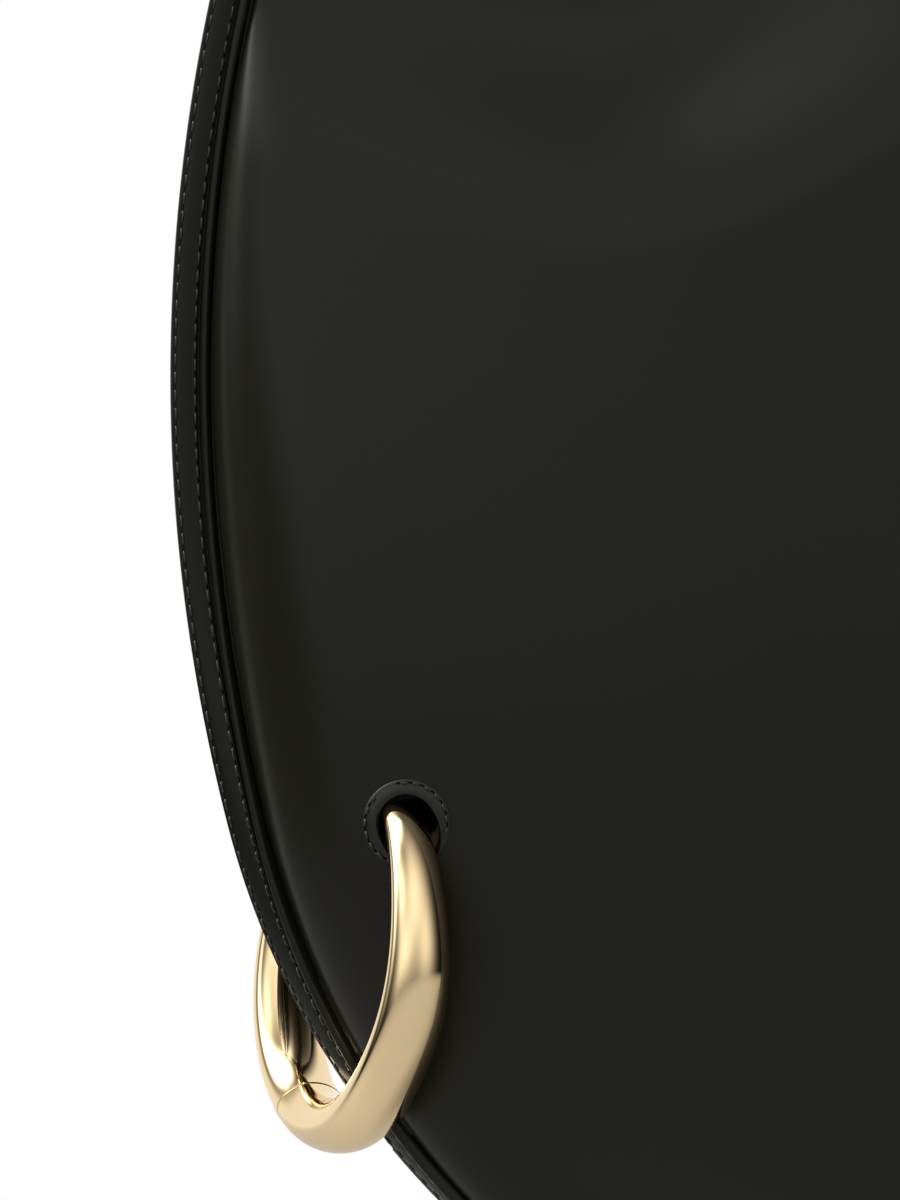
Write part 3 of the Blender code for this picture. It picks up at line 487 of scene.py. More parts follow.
def lofted(rows, closed=False, caps=(False, False), mirrored=False):
    """A bmesh skin over rows of points, optionally mirrored in the bag's middle."""
    shape = bmesh.new()
    grid = [[shape.verts.new(point) for point in row] for row in rows]
    skin(shape, grid, closed)
    for wanted, row in zip(caps, (grid[0], grid[-1])):
        if wanted:
            shape.faces.new(row)
    if mirrored:
        copy = bmesh.ops.duplicate(shape, geom=shape.verts[:] + shape.edges[:] + shape.faces[:])
        made = [item for item in copy["geom"] if isinstance(item, bmesh.types.BMVert)]
        bmesh.ops.scale(shape, vec=(-1, 1, 1), verts=made)
        bmesh.ops.remove_doubles(shape, verts=shape.verts, dist=GAP / 10)
    bmesh.ops.recalc_face_normals(shape, faces=shape.faces)
    return shape


def face_along(shape, direction):
    total = sum(face.normal.dot(direction) * face.calc_area() for face in shape.faces)
    if total < 0:
        bmesh.ops.reverse_faces(shape, faces=shape.faces)


def moved(shape, way=SHIFT):
    bmesh.ops.translate(shape, vec=way, verts=shape.verts)
    return shape


def half_tube(name, rows, material, replaced):
    """A closed profile's rows that end at the bag's middle, and their mirror image."""
    shape = lofted(rows, closed=True, caps=(True, False), mirrored=True)
    mesh_object(name, moved(shape), material, replaced=(replaced,))


def modify(piece, kind, **settings):
    modifier = piece.modifiers.new(kind.title(), kind)
    for name, value in settings.items():
        setattr(modifier, name, value)


def thicken(piece, thickness):
    """Adds thickness behind the face."""
    modify(piece, "SOLIDIFY", thickness=thickness, offset=-1.0, use_even_offset=True)


def soften(piece, width):
    """Rounds the sharp edges."""
    limits = {"limit_method": "ANGLE", "angle_limit": SHARP_ANGLE}
    modify(piece, "BEVEL", width=width, segments=2, **limits)


def boolean(piece, cutter, operation="DIFFERENCE"):
    modify(piece, "BOOLEAN", object=cutter, operation=operation, solver="EXACT")


def settle(piece):
    """Applies a piece's modifiers, so that its helpers can go."""
    bpy.context.view_layer.update()
    graph = bpy.context.evaluated_depsgraph_get()
    mesh = bpy.data.meshes.new_from_object(piece.evaluated_get(graph))
    piece.modifiers.clear()
    piece.data = mesh
    mesh.set_sharp_from_angle(angle=CUT_SHARP_ANGLE)


def sheet_piece(name, rows, material, thickness, replaced, outward, cutter=None, softening=0.0):
    """A mirrored sheet, thickened inward, its edges softened and its hole cut."""
    shape = lofted(rows, mirrored=True)
    face_along(shape, outward)
    piece = mesh_object(name, moved(shape), material, replaced=(replaced,))
    thicken(piece, thickness)
    if softening:
        soften(piece, softening)
    if cutter:
        boolean(piece, cutter)
        settle(piece)


# Materials


class Tree:
    """A node tree that is filled by short calls."""

    def __init__(self, tree):
        self.tree = tree

    def add(self, kind, inputs=(), **settings):
        node = self.tree.nodes.new("ShaderNode" + kind)
        for name, value in settings.items():
            setattr(node, name, value)
        for name, value in dict(inputs).items():
            if isinstance(value, bpy.types.NodeSocket):
                self.tree.links.new(value, node.inputs[name])
            else:
                node.inputs[name].default_value = value
        return node

    def math(self, operation, *values):
        """The result of a Math node over sockets or numbers."""
        return self.add("Math", dict(enumerate(values)), operation=operation).outputs[0]

    def fade(self, value, start, end, low, high):
        """A smooth change from low to high while the value runs from start to end."""
        inputs = {"Value": value, "From Min": start, "From Max": end, "To Min": low, "To Max": high}
        return self.add("MapRange", inputs, interpolation_type="SMOOTHSTEP").outputs[0]


class Nodes(Tree):
    """A new material's tree, with its shader at hand; the slot argument is not used."""

    def __init__(self, name, slot=None):
        self.material = bpy.data.materials.new(name)
        self.material.use_nodes = True
        super().__init__(self.material.node_tree)
        self.shader = self.tree.nodes["Principled BSDF"]

    def link(self, output, target):
        self.tree.links.new(output, self.shader.inputs[target])

    def put(self, inputs):
        for name, value in inputs.items():
            self.shader.inputs[name].default_value = value

    def pattern(self, kind, **inputs):
        """A texture fixed to the piece."""
        place = self.add("TexCoord").outputs["Object"]
        return self.add(kind, {"Vector": place, **inputs}).outputs[0]

    def spread(self, factor, low, high, target):
        """Runs an input of the shader between two values."""
        node = self.add("MapRange", {"Value": factor, "To Min": low, "To Max": high})
        self.link(node.outputs["Result"], target)

    def tone(self, factor, colour, low, high):
        """Runs the base colour between a darker and a lighter shade."""
        dark, light = ((*(channel * share for channel in colour), 1) for share in (low, high))
        node = self.add("Mix", {"Factor": factor, "A": dark, "B": light}, data_type="RGBA")
        self.link(node.outputs[2], "Base Color")

    def bump(self, strength, distance, height):
        inputs = {"Strength": strength, "Distance": distance, "Height": height}
        self.link(self.add("Bump", inputs).outputs["Normal"], "Normal")


def leather(name, slot, colour, roughness, grain, specular):
    """Smooth calf: a fine pebbled grain, faint pores, and slow changes of tone and gloss.

    After the colour come the roughness, the grain's strength and the specular level.
    """
    n = Nodes(name, slot)
    slow = n.pattern("TexNoise", Scale=18.0, Detail=3.0)
    cells = n.pattern("TexVoronoi", Scale=2600.0)
    fine = n.pattern("TexNoise", Scale=5200.0, Detail=2.0)
    n.tone(slow, colour, 0.92, 1.10)
    n.spread(slow, roughness - 0.02, roughness + 0.03, "Roughness")
    n.bump(grain, 0.00004, n.math("ADD", cells, fine))
    n.put({"IOR": 1.45, "Specular IOR Level": specular})
    return n.material


def metal(name, slot, colour, roughness):
    """Polished plate with a trace of fine wiping marks."""
    n = Nodes(name, slot)
    marks = n.pattern("TexNoise", Scale=240.0, Detail=4.0)
    n.spread(marks, roughness * 0.7, roughness * 1.4, "Roughness")
    n.put({"Base Color": (*colour, 1), "Metallic": 1.0})
    return n.material


def cloth(name, slot, colour):
    """Suede, felt or fibre: matt, with a short nap."""
    n = Nodes(name, slot)
    nap = n.pattern("TexNoise", Scale=1400.0, Detail=4.0)
    n.tone(nap, colour, 0.8, 1.2)
    n.bump(0.4, 0.0001, nap)
    n.put({"Roughness": 0.9, "Sheen Weight": 0.3})
    return n.material


CALF = leather("look_calf", "black_calf", (0.0084, 0.0080, 0.0048), 0.32, 0.10, 0.21)
EDGE_CALF = leather("look_edge_calf", "edge_calf", (0.0076, 0.0074, 0.0045), 0.28, 0.12, 0.21)
FACING_CALF = leather("look_facing_calf", "facing_calf", (0.0105, 0.0104, 0.0092), 0.36, 0.15, 0.30)
BASE_CALF = leather("look_base_calf", "base_calf", (0.0076, 0.0075, 0.0064), 0.42, 0.15, 0.25)
STRAP_CALF = leather("look_strap_calf", "strap_calf", (0.0081, 0.0080, 0.0066), 0.38, 0.12, 0.25)
STRAP_EDGE = leather("look_strap_edge", "core_webbing", (0.0070, 0.0068, 0.0060), 0.34, 0.02, 0.30)
# The sleeve's leather is near black: painted shade inside the ring's hole, not the calf's own colour.
TUNNEL_SHADE_CALF = leather("look_tunnel_shade_calf", "facing_calf", (0.0020, 0.0019, 0.0017), 0.60, 0.10, 0.1)
# Needle holes: near black, painted shade in each small dent.
NEEDLE_HOLE_SHADE = leather("look_needle_hole_shade", "edge_calf", (0.0015, 0.0015, 0.0014), 0.80, 0.0, 0.0)
FELT = cloth("look_felt", "interlining_felt", (0.42, 0.40, 0.37))
FIBRE = cloth("look_fibre", "base_board_fibre", (0.33, 0.26, 0.19))
THREAD = leather("look_thread", "edge_calf", (0.022, 0.022, 0.020), 0.28, 0.3, 0.60)
SUEDE = cloth("look_suede", "lining_suede", (0.16, 0.12, 0.09))
GOLD = metal("look_gold", "pale_gold", (0.88, 0.67, 0.38), 0.07)
PIN_GOLD = metal("look_pin_gold", "hinge_steel", (0.72, 0.60, 0.42), 0.2)


# Panels

def section_path(station, leads, share, shares):
    x, z, inward_x, inward_z = station
    points = [(x + inward_x * lead, z + inward_z * lead) for lead in leads]
    start_x, start_z = points[-1]
    spine_z = mix(MOUTH_HEIGHT, MOUTH_HEIGHT * SPINE_LOW_SHARE, share)
    points += [(mix(start_x, 0.0, s), mix(start_z, spine_z, s)) for s in shares]
    return points


def sheet_paths(stations, leads_of, top):
    last = len(stations) - 1
    shares = ramp(0.0, 1.0, SPINE_POINTS + 1)[1:]
    paths = [section_path(s, leads_of(s), j / last, shares) for j, s in enumerate(stations)]
    lifts = [top(x) - z for x, z in paths[0]]
    bent = []
    for j, path in enumerate(paths):
        fade = max(0.0, 1 - j / TOP_FADE_STATIONS)
        bent.append([(x, z + lift * fade) for (x, z), lift in zip(path, lifts)])
    return bent


def panel_leads(station):
    foot = station[1]
    crease, _ = edge_offsets(foot, CREASE, FLANGE_TOP)
    shares = [1 - cos(pi / 2 * s) for s in ramp(0.0, 1.0, ROLL_POINTS + 1)[1:]]
    return [crease + share * roll_width(foot) for share in shares]


def make_panel(name, side, cutter):
    stations = outline_stations()
    rows = []
    for station, path in zip(stations, sheet_paths(stations, panel_leads, top_height)):
        row = [edge_point(station, p, FLANGE_TOP, side) for p in (FLANGE_INSET, STRIP_WIDTH, CREASE)]
        rows.append(row + [Vector((x, side * half_depth(x, z), z)) for x, z in path])
    for point in rows[0][:3]:
        point.z = top_height(point.x)
    outward = Vector((0, side, 0))
    sheet_piece(f"{name}_shell", rows, CALF, LEATHER, f"{name}_panel", outward, cutter)


def edge_sweep(name, profile, side, replaced):
    """A closed profile of (p, q) points run along the sewn edge."""
    stations = [s for s in outline_stations() if s[1] < LEG_START_HEIGHT + GAP]
    rows = [[edge_point(s, p, q, side) for p, q in profile] for s in stations]
    half_tube(name, rows, EDGE_CALF, replaced)


def make_edge_fill():
    """The glued layer that closes the gap between the two panels' flanges at their edge."""
    near, far = FLANGE_INSET * 2, STRIP_WIDTH * 0.8
    corners = ((near, -1), (near, 1), (far, 1), (far, -1))
    rows = []
    for station in outline_stations():
        if GUSSET_TOP_HEIGHT + LEATHER < station[1] < PANEL_END_HEIGHT - LEATHER:
            rows.append([edge_point(station, p, -FILL_CLEARANCE, side) for p, side in corners])
    shape = lofted(rows, closed=True, caps=(True, True), mirrored=True)
    mesh_object("edge_fill", moved(shape), EDGE_CALF)


def strip_profile():
    """A flat band with rounded edges and a shallow groove under each row of stitches."""
    groove = STITCH_RADIUS
    top = STRIP_TOP
    soft = STRIP_SOFTENING
    return (
        (0.0, STRIP_BOTTOM),
        (STRIP_WIDTH, STRIP_BOTTOM),
        (STRIP_WIDTH, top - soft),
        (STRIP_WIDTH - soft * 0.4, top - groove),
        (INNER_ROW, top - groove),
        (INNER_ROW - soft, top - groove * 0.2),
        (mix(OUTER_ROW, INNER_ROW, 0.75), top),
        (mix(OUTER_ROW, INNER_ROW, 0.5), top + groove * 0.3),
        (mix(OUTER_ROW, INNER_ROW, 0.25), top),
        (OUTER_ROW + soft * 0.7, top - groove * 0.2),
        (OUTER_ROW, top - groove),
        (OUTER_ROW - soft * 0.7, top - groove * 0.4),
        (soft * 0.35, top - soft * 0.6),
        (0.0, top - soft * 1.6),
    )


def piping_profile():
    middle = PIPING_START + PIPING_WIDTH / 2
    height = STRIP_TOP + PIPING_RISE - STRIP_BOTTOM
    points = [(PIPING_START, STRIP_BOTTOM), (PIPING_END, STRIP_BOTTOM)]
    for angle in ramp(0.0, pi, PIPING_POINTS)[1:-1]:
        across = middle + PIPING_WIDTH / 2 * cos(angle)
        points.append((across, STRIP_BOTTOM + height * sin(angle) ** LIP_FULLNESS))
    return points


def stitch(shape, middle, along, out, length=STITCH_LENGTH):
    """One stitch: a short thread that dips into the leather at both ends."""
    across = along.cross(out).normalized()
    rows = []
    for share in ramp(-1.0, 1.0, STITCH_RINGS):
        fall = share ** 4
        lift = STITCH_RADIUS * (0.9 * (1 - fall) - 0.4 * fall)
        swell = STITCH_RADIUS * (1 - 0.65 * fall)
        centre = middle + along * (length / 2 * share) + out * lift
        rows.append([shape.verts.new(centre + (across * x + out * y) * swell) for x, y in STITCH_SIDES])
    skin(shape, rows, True)
    shape.faces.new(rows[0])
    shape.faces.new(rows[-1][::-1])


def finish_stitches(name, shape):
    bmesh.ops.recalc_face_normals(shape, faces=shape.faces)
    mesh_object(name, moved(shape), THREAD)


def needle_hole(shape, middle, along, out):
    """The dent between two stitches, coloured near black as painted shade."""
    across = along.cross(out).normalized()
    rim = []
    for x, y in HOLE_SIDES:
        reach = along * (1.4 * x) + across * y
        rim.append(shape.verts.new(middle + reach * NEEDLE_HOLE + out * NEEDLE_HOLE * 0.2))
    bottom = shape.verts.new(middle)
    for a, b in zip(rim, rim[1:] + rim[:1]):
        shape.faces.new((a, b, bottom))


def finish_holes(name, shape, side):
    face_along(shape, Vector((0, side, 0)))
    # The dents take the near-black colour, painted shade in the needle holes.
    mesh_object(name, moved(shape), NEEDLE_HOLE_SHADE)


def edge_stitches(name, side):
    """Both rows of stitches along one side's edge, with the needle's holes between them."""
    shape = bmesh.new()
    holes = bmesh.new()
    count = int(SEWN_LENGTH / STITCH_PITCH)
    for row, across in enumerate((OUTER_ROW, INNER_ROW)):
        for k in range(count):
            distance = (k + 0.5 + 0.3 * row) * STITCH_PITCH
            station = station_at(distance)
            near = station_at(distance + STITCH_PITCH / 10)
            q = STRIP_TOP - STITCH_RADIUS
            middle = edge_point(station, across, q, side)
            along = (edge_point(near, across, q, side) - middle).normalized()
            out = (edge_point(station, across, q + GAP, side) - middle).normalized()
            between = station_at(distance + STITCH_PITCH / 2)
            gap_middle = edge_point(between, across, q, side)
            for flip in MIRRORS:
                stitch(shape, middle * flip, along * flip, out * flip)
                needle_hole(holes, gap_middle * flip, along * flip, out * flip)
    finish_stitches(name, shape)
    finish_holes(f"{name}_holes", holes, side)


# Ring

RING_CENTRE = Vector((
    CORNER_CENTRE_X - (CORNER_RADIUS - RING_INSET) * cos(RING_BEARING),
    -RING_FORWARD,
    CORNER_RADIUS - (CORNER_RADIUS - RING_INSET) * sin(RING_BEARING),
))
RING_UP = Vector((sin(RING_LEAN), 0.0, cos(RING_LEAN)))
RING_ACROSS = Vector((cos(RING_LEAN), 0.0, -sin(RING_LEAN)))
RING_FRONT = RING_ACROSS * cos(RING_TURN) - Vector((0.0, 1.0, 0.0)) * sin(RING_TURN)
RING_AXIS = RING_UP.cross(RING_FRONT)
RING_MATRIX = Matrix.Translation(RING_CENTRE) @ Matrix(
    (RING_UP, RING_FRONT, RING_AXIS)
).transposed().to_4x4()


def ring_tube_radius(angle):
    turn = (angle - RING_THICK_ANGLE + pi) % (2 * pi) - pi
    span = RING_BACK_TAPER if turn > 0 else RING_FRONT_TAPER
    share = min(abs(turn) / span, 1.0)
    return mix(RING_THICK_RADIUS, RING_THIN_RADIUS, share ** RING_TAPER_POWER)


def ring_front_share(angle):
    """1 in the middle of the ring's front, falling to 0 at its reach to both sides."""
    away = min(abs(angle - RING_FRONT_ANGLE) / RING_FRONT_REACH, 1.0)
    return cos(away * pi / 2) ** 2


def ring_breadth(angle):
    return RING_BREADTH + RING_FRONT_BREADTH * ring_front_share(angle)


def ring_sway(angle):
    """How far the ring's front leans to the bag's right."""
    return RING_FRONT_SWAY * ring_front_share(angle)


def ring_local(angle, radius=RING_RADIUS):
    return Vector((radius * cos(angle), radius * sin(angle), 0.0))


def arc_shape(first, last, radius_of, softening=0.0, breadth_of=lambda _: 1.0, sway_of=lambda _: 0.0):
    """A closed tube along the ring's middle line, its ends rounded by the softening."""
    steps = max(2, round(abs(last - first) / RING_STEP) + 1)
    stops = [(angle, 0.0) for angle in ramp(first, last, steps)]
    if softening:
        turn = copysign(softening / RING_RADIUS, last - first)
        stops[:1] = [(first, softening), (first + turn, 0.0)]
        stops[-1:] = [(last - turn, 0.0), (last, softening)]
    axis = Vector((0.0, 0.0, 1.0))
    rows = []
    for angle, loss in stops:
        outward = ring_local(angle, 1.0)
        breadth = breadth_of(angle)
        centre = ring_local(angle) + axis * sway_of(angle)
        radius = radius_of(angle) - loss
        sides = [(outward * x + axis * (breadth * y)) * radius for x, y in circle(RING_SIDES)]
        rows.append([RING_MATRIX @ (centre + offset) for offset in sides])
    return lofted(rows, closed=True, caps=(True, True))


def helper(name, shape):
    """A hidden object that cuts others or joins them."""
    piece = mesh_object(name, moved(shape), CALF, body=None)
    piece.hide_render = True
    return piece


def ring_run(angle):
    """The ring's own direction at an angle, in its plane."""
    return Vector((-sin(angle), cos(angle), 0.0))


def tangent_matrix(angle):
    along, outward = ring_run(angle), ring_local(angle, 1.0)
    turn = Matrix((along, outward, along.cross(outward))).transposed().to_4x4()
    return RING_MATRIX @ Matrix.Translation(ring_local(angle)) @ turn


HINGE = tangent_matrix(RING_HINGE_ANGLE)


def hinge_cylinder(name, radius, depth):
    """A round helper on the hinge's axis."""
    shape = bmesh.new()
    size = {"radius1": radius, "radius2": radius, "depth": depth}
    bmesh.ops.create_cone(shape, cap_ends=True, segments=HINGE_SIDES, matrix=HINGE, **size)
    return helper(name, shape)


def hinge_block(name, low, high, breadth, thickness):
    """A block-shaped helper between two lengths along the ring at its hinge."""
    shape = bmesh.new()
    place = HINGE @ Matrix.Translation(((low + high) / 2, 0.0, 0.0))
    size = Matrix.Diagonal((high - low, breadth, thickness, 1.0))
    bmesh.ops.create_cube(shape, size=1.0, matrix=place @ size)
    return helper(name, shape)


def ring_part(name, first, last, body, replaced):
    shape = arc_shape(first, last, ring_tube_radius, SEAM_SOFTENING, ring_breadth, ring_sway)
    return mesh_object(name, moved(shape), GOLD, body, (replaced,))


def make_ring():
    """The hoop with its slotted knuckle, and the gate with the tongue that turns in the slot."""
    seam_step = SEAM_GAP / RING_RADIUS
    last = RING_HINGE_ANGLE - 2 * pi
    body = ring_part("ring_hoop", RING_SEAM_ANGLE - seam_step, last, "ring", "ring_body")
    last = RING_HINGE_ANGLE - (KNUCKLE_RADIUS + GAP) / RING_RADIUS
    gate = ring_part("ring_gate_arm", RING_SEAM_ANGLE + seam_step, last, "gate", "ring_gate")
    deep = KNUCKLE_RADIUS * 3
    room = TONGUE_THICKNESS + 2 * GAP
    length = KNUCKLE_RADIUS + 2 * GAP + TONGUE_RADIUS
    knuckle = hinge_cylinder("knuckle_helper", KNUCKLE_RADIUS, KNUCKLE_LENGTH)
    slot = hinge_block("slot_helper", -deep, TONGUE_RADIUS + GAP, 2 * deep, room)
    tongue = hinge_block("tongue_helper", -length, 0.0, 2 * TONGUE_RADIUS, TONGUE_THICKNESS)
    eye = hinge_cylinder("eye_helper", TONGUE_RADIUS, TONGUE_THICKNESS)
    boolean(body, knuckle, "UNION")
    boolean(body, slot)
    boolean(gate, tongue, "UNION")
    boolean(gate, eye, "UNION")
    for piece in (body, gate):
        settle(piece)
    for piece in (knuckle, slot, tongue, eye):
        discard(piece)


def ring_crossing(side):
    low, high = 0.0, -side * pi / 2
    for _ in range(CROSSING_STEPS):
        middle = (low + high) / 2
        place = RING_MATRIX @ ring_local(middle)
        if abs(place.y) < half_depth(place.x, place.z):
            low = middle
        else:
            high = middle
    return (low + high) / 2


BACK_CROSSING = ring_crossing(1)
FRONT_CROSSING = ring_crossing(-1)


def eyelet_radius(angle, margin):
    """The sleeve's bore and a margin: narrow at the back, wide in front."""
    share = min(max((angle - BACK_CROSSING) / (FRONT_CROSSING - BACK_CROSSING), 0.0), 1.0)
    return mix(BACK_EYELET_RADIUS, EYELET_RADIUS, share) + margin


def eyelet_tube(first, last, margin):
    """The room round the ring's path between two angles."""
    return moved(arc_shape(first, last, lambda angle: eyelet_radius(angle, margin)), EYELET_SHIFT)


def passage_helper(name, margin):
    """A cutter through both panels along the ring's path."""
    reach = TUNNEL_OVERRUN / RING_RADIUS
    return helper(name, eyelet_tube(BACK_CROSSING - reach, FRONT_CROSSING + reach, margin))


def eyelet_frame(side):
    """(centre, long direction, wide direction, hole's long and wide half sizes)."""
    angle = FRONT_CROSSING if side < 0 else BACK_CROSSING
    centre = RING_MATRIX @ ring_local(angle) + EYELET_SHIFT
    run = RING_MATRIX.to_3x3() @ ring_run(angle)
    normal = surface_normal(centre.x, centre.z, side)
    slant = abs(run.dot(normal))
    along = Vector((run.x, run.z)) - Vector((normal.x, normal.z)) * run.dot(normal)
    along.normalize()
    across = Vector((-along.y, along.x))
    if side < 0:
        return centre, along, across, FACING_HOLE, FACING_HOLE
    radius = eyelet_radius(angle, BACK_FACING_EASE)
    return centre, along, across, radius / slant, radius


def eyelet_rows(side, profile, border):
    """Rings of points round the hole: profile gives (share of the border, height) pairs."""
    centre, along, across, long_half, wide_half = eyelet_frame(side)
    rows = []
    for share, height in profile:
        row = []
        for cosine, sine in circle(EYELET_SIDES):
            reach = along * (long_half + border * share) * cosine
            reach += across * (wide_half + border * share) * sine
            x, z = centre.x + reach.x, centre.z + reach.y
            face = Vector((x, side * half_depth(x, z), z))
            row.append(face + surface_normal(x, z, side) * height)
        rows.append(row)
    return rows


def in_ring_path(point):
    """Whether a stitch at this point would lie in the way of the ring."""
    local = RING_MATRIX.inverted() @ (point - EYELET_SHIFT)
    angle = atan2(local.y, local.x)
    return (local - ring_local(angle)).length < eyelet_radius(angle, TUNNEL_EASE + STITCH_RADIUS * 2)


def make_facing(name, side, border, cutter):
    """The leather sewn round one hole, opened where the ring passes, with its ring of stitches."""
    top = GAP + EYELET_LEATHER
    profile = [(0.01, -LEATHER * 0.9), (0.0, -LEATHER * 0.2)]
    profile += [
        (share, top * rise)
        for share, rise in (
            (0.02, 0.55), (0.08, 0.95), (0.20, 1.0), (0.55, 0.9),
            (0.72, 0.55), (0.84, 0.45), (0.93, 0.35), (1.0, 0.12),
        )
    ]
    profile.append((1.0, GAP * 0.1))
    shape = lofted(eyelet_rows(side, profile, border), closed=True)
    face_along(shape, Vector((0, side, 0)))
    replaced = (f"{name}_eyelet_facing",)
    piece = mesh_object(f"{name}_eyelet_patch", moved(shape), FACING_CALF, replaced=replaced)
    thicken(piece, FACING_SKIN)
    if side < 0:
        boolean(piece, cutter)
        settle(piece)
    ring = eyelet_rows(side, ((EYELET_ROW_SHARE, top * 0.5),), border)[0]
    length = sum((b - a).length for a, b in zip(ring, ring[1:] + ring[:1]))
    count = round(length / EYELET_PITCH)
    stitches = bmesh.new()
    holes = bmesh.new()
    for k in range(count):
        middle, along = ring_point(ring, k / count)
        if in_ring_path(middle):
            continue
        out = surface_normal(middle.x, middle.z, side)
        stitch(stitches, middle, along, out, EYELET_PITCH * 0.62)
        between, along = ring_point(ring, (k + 0.5) / count)
        needle_hole(holes, between, along, out)
    finish_stitches(f"{name}_eyelet_stitches", stitches)
    finish_holes(f"{name}_eyelet_holes", holes, side)


def ring_point(ring, share):
    """The point at a share of the way round a ring of points, and the ring's direction there."""
    at = share * len(ring)
    i = int(at)
    a, b = ring[i], ring[(i + 1) % len(ring)]
    return a.lerp(b, at - i), (b - a).normalized()


def make_eyelet():
    reach = RING_PATH_LENGTH / RING_RADIUS
    cutter = helper("ring_path_helper", eyelet_tube(FRONT_CROSSING, FRONT_CROSSING + reach, TUNNEL_EASE))
    make_facing("front", -1, EYELET_BORDER, cutter)
    make_facing("back", 1, BACK_EYELET_BORDER, cutter)
    discard(cutter)


def make_sleeve():
    """The leather tube between the two holes, its ends pressed into the panels' thickness. Its
    near-black leather is painted shade inside the hole.
    """
    reach = TUNNEL_RECESS / RING_RADIUS
    first, last = BACK_CROSSING + reach, FRONT_CROSSING - reach
    outer = eyelet_tube(first, last, SLEEVE_LEATHER)
    inner = eyelet_tube(first - reach * 9, last + reach * 9, TUNNEL_EASE)
    # The tunnel takes the near-black leather, painted shade inside the hole.
    sleeve = mesh_object("eyelet_tunnel", moved(outer), TUNNEL_SHADE_CALF, replaced=("eyelet_sleeve",))
    cutter = helper("sleeve_helper", inner)
    boolean(sleeve, cutter)
    settle(sleeve)
    discard(cutter)
    for vertex in sleeve.data.vertices:
        x, y, z = Vector(vertex.co) - SHIFT
        limit = half_depth(x, z) - LEATHER / 2
        vertex.co.y = min(max(y, -limit), limit) + MIDDLE_Y


# Inside

def behind(x, z, side, depth):
    """A point at a depth behind a panel's outer face."""
    return Vector((x, side * half_depth(x, z), z)) - surface_normal(x, z, side) * depth


def make_mouth_facing(name, side):
    """The leather along the mouth, sewn through the panel by a row of stitches."""
    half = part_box(f"{name}_mouth_facing")[1][0]
    rows = []
    for drop in ramp(MOUTH_STITCH_DROP * 0.6, FACING_HEIGHT, FACING_ROWS):
        xs = ramp(-half, 0.0, FACING_COLUMNS)
        rows.append([behind(x, top_height(x) - drop, side, LEATHER + GAP / 2) for x in xs])
    sheet_piece(
        f"{name}_mouth_band", rows, FACING_CALF, FACING_LEATHER, f"{name}_mouth_facing",
        Vector((0, side, 0)), softening=SHEET_SOFTENING,
    )
    shape = bmesh.new()
    count = int(half / STITCH_PITCH)
    for k in range(-count, count + 1):
        x = k * STITCH_PITCH
        z = top_height(x) - MOUTH_STITCH_DROP
        for depth, face in ((0.0, 1), (LEATHER + GAP / 2 + FACING_LEATHER, -1)):
            middle = behind(x, z, side, depth)
            near = behind(x + GAP, top_height(x + GAP) - MOUTH_STITCH_DROP, side, depth)
            out = surface_normal(x, z, side) * face
            stitch(shape, middle, (near - middle).normalized(), out)
    finish_stitches(f"{name}_mouth_stitches", shape)


def make_interlining(name, side, cutter):
    whole = outline_stations()
    stations = whole[LEG_STATIONS + SIDE_STATIONS // 3 :: 3]
    if stations[-1][0] != 0.0:
        stations.append(whole[-1])
    shares = ramp(0.0, 1.0, SPINE_POINTS + 1)[1::2]
    rows = []
    for j, station in enumerate(stations):
        crease, _ = edge_offsets(station[1], CREASE, FLANGE_TOP)
        leads = [crease + roll_width(station[1]) * share for share in (0.7, 1.0)]
        share = mix(0.35, 1.0, j / (len(stations) - 1))
        path = section_path(station, leads, share, shares[:-1] + [1.0])
        rows.append([behind(x, z, side, LEATHER + GAP) for x, z in path])
        rows[-1][-1].x = 0.0
    outward = Vector((0, side, 0))
    sheet_piece(f"{name}_felt", rows, FELT, INTERLINING, f"{name}_interlining", outward, cutter)


def lining_top(x):
    along = abs(x) / MOUTH_HALF_LENGTH
    drop = LINING_CORNER_DROP * smooth((along - LINING_CORNER_START) / LINING_CORNER_SHARE)
    return top_height(x) - LINING_DROP - drop


def lining_depth(x, z):
    distance, _ = nearest_edge(x, z)
    share = min(max((distance - LINING_INSET) / LINING_ROLL, 0.0), 1.0)
    rise = (1 - (1 - share) ** 2) ** (1 / 2)
    seam = 2 * (LEAST_HALF_GAP + LINING_CLOTH)
    return mix(seam, max(seam, half_depth(x, z) - LINING_CLEARANCE), rise)


def lining_fold(x, z, rise):
    """Soft folds that hang from the mouth and fade towards the seam and the pocket."""
    waves = sin(210 * x + 1.5 * sin(35 * z)) + 0.6 * sin(90 * x - 60 * z + 1.0)
    away = smooth((abs(x) - POCKET_HALF_WIDTH) / FOLD_FADE)
    return LINING_FOLD * (1 + waves / 1.6) / 2 * rise * away


def make_lining(name, side, cutter):
    stations = outline_stations(top=LINING_START_HEIGHT)
    leads = [LINING_INSET + LINING_ROLL * share ** 1.5 for share in ramp(0.0, 1.0, LINING_POINTS)]
    rows = []
    for path in sheet_paths(stations, lambda _: leads, lining_top):
        row = []
        for i, (x, z) in enumerate(path):
            rise = smooth((i - len(leads) / 2) / 6)
            row.append(Vector((x, side * (lining_depth(x, z) - lining_fold(x, z, rise)), z)))
        rows.append(row)
    outward = Vector((0, side, 0))
    sheet_piece(f"{name}_suede", rows, SUEDE, LINING_CLOTH, f"{name}_lining", outward, cutter)


def pocket_depth(x, z):
    across = 1 - (x / POCKET_HALF_WIDTH) ** 2
    up = smooth((z - POCKET_BOTTOM) / (POCKET_TOP - POCKET_BOTTOM))
    return lining_depth(x, z) - LINING_CLOTH - POCKET_CLEARANCE - POCKET_FULLNESS * across * up


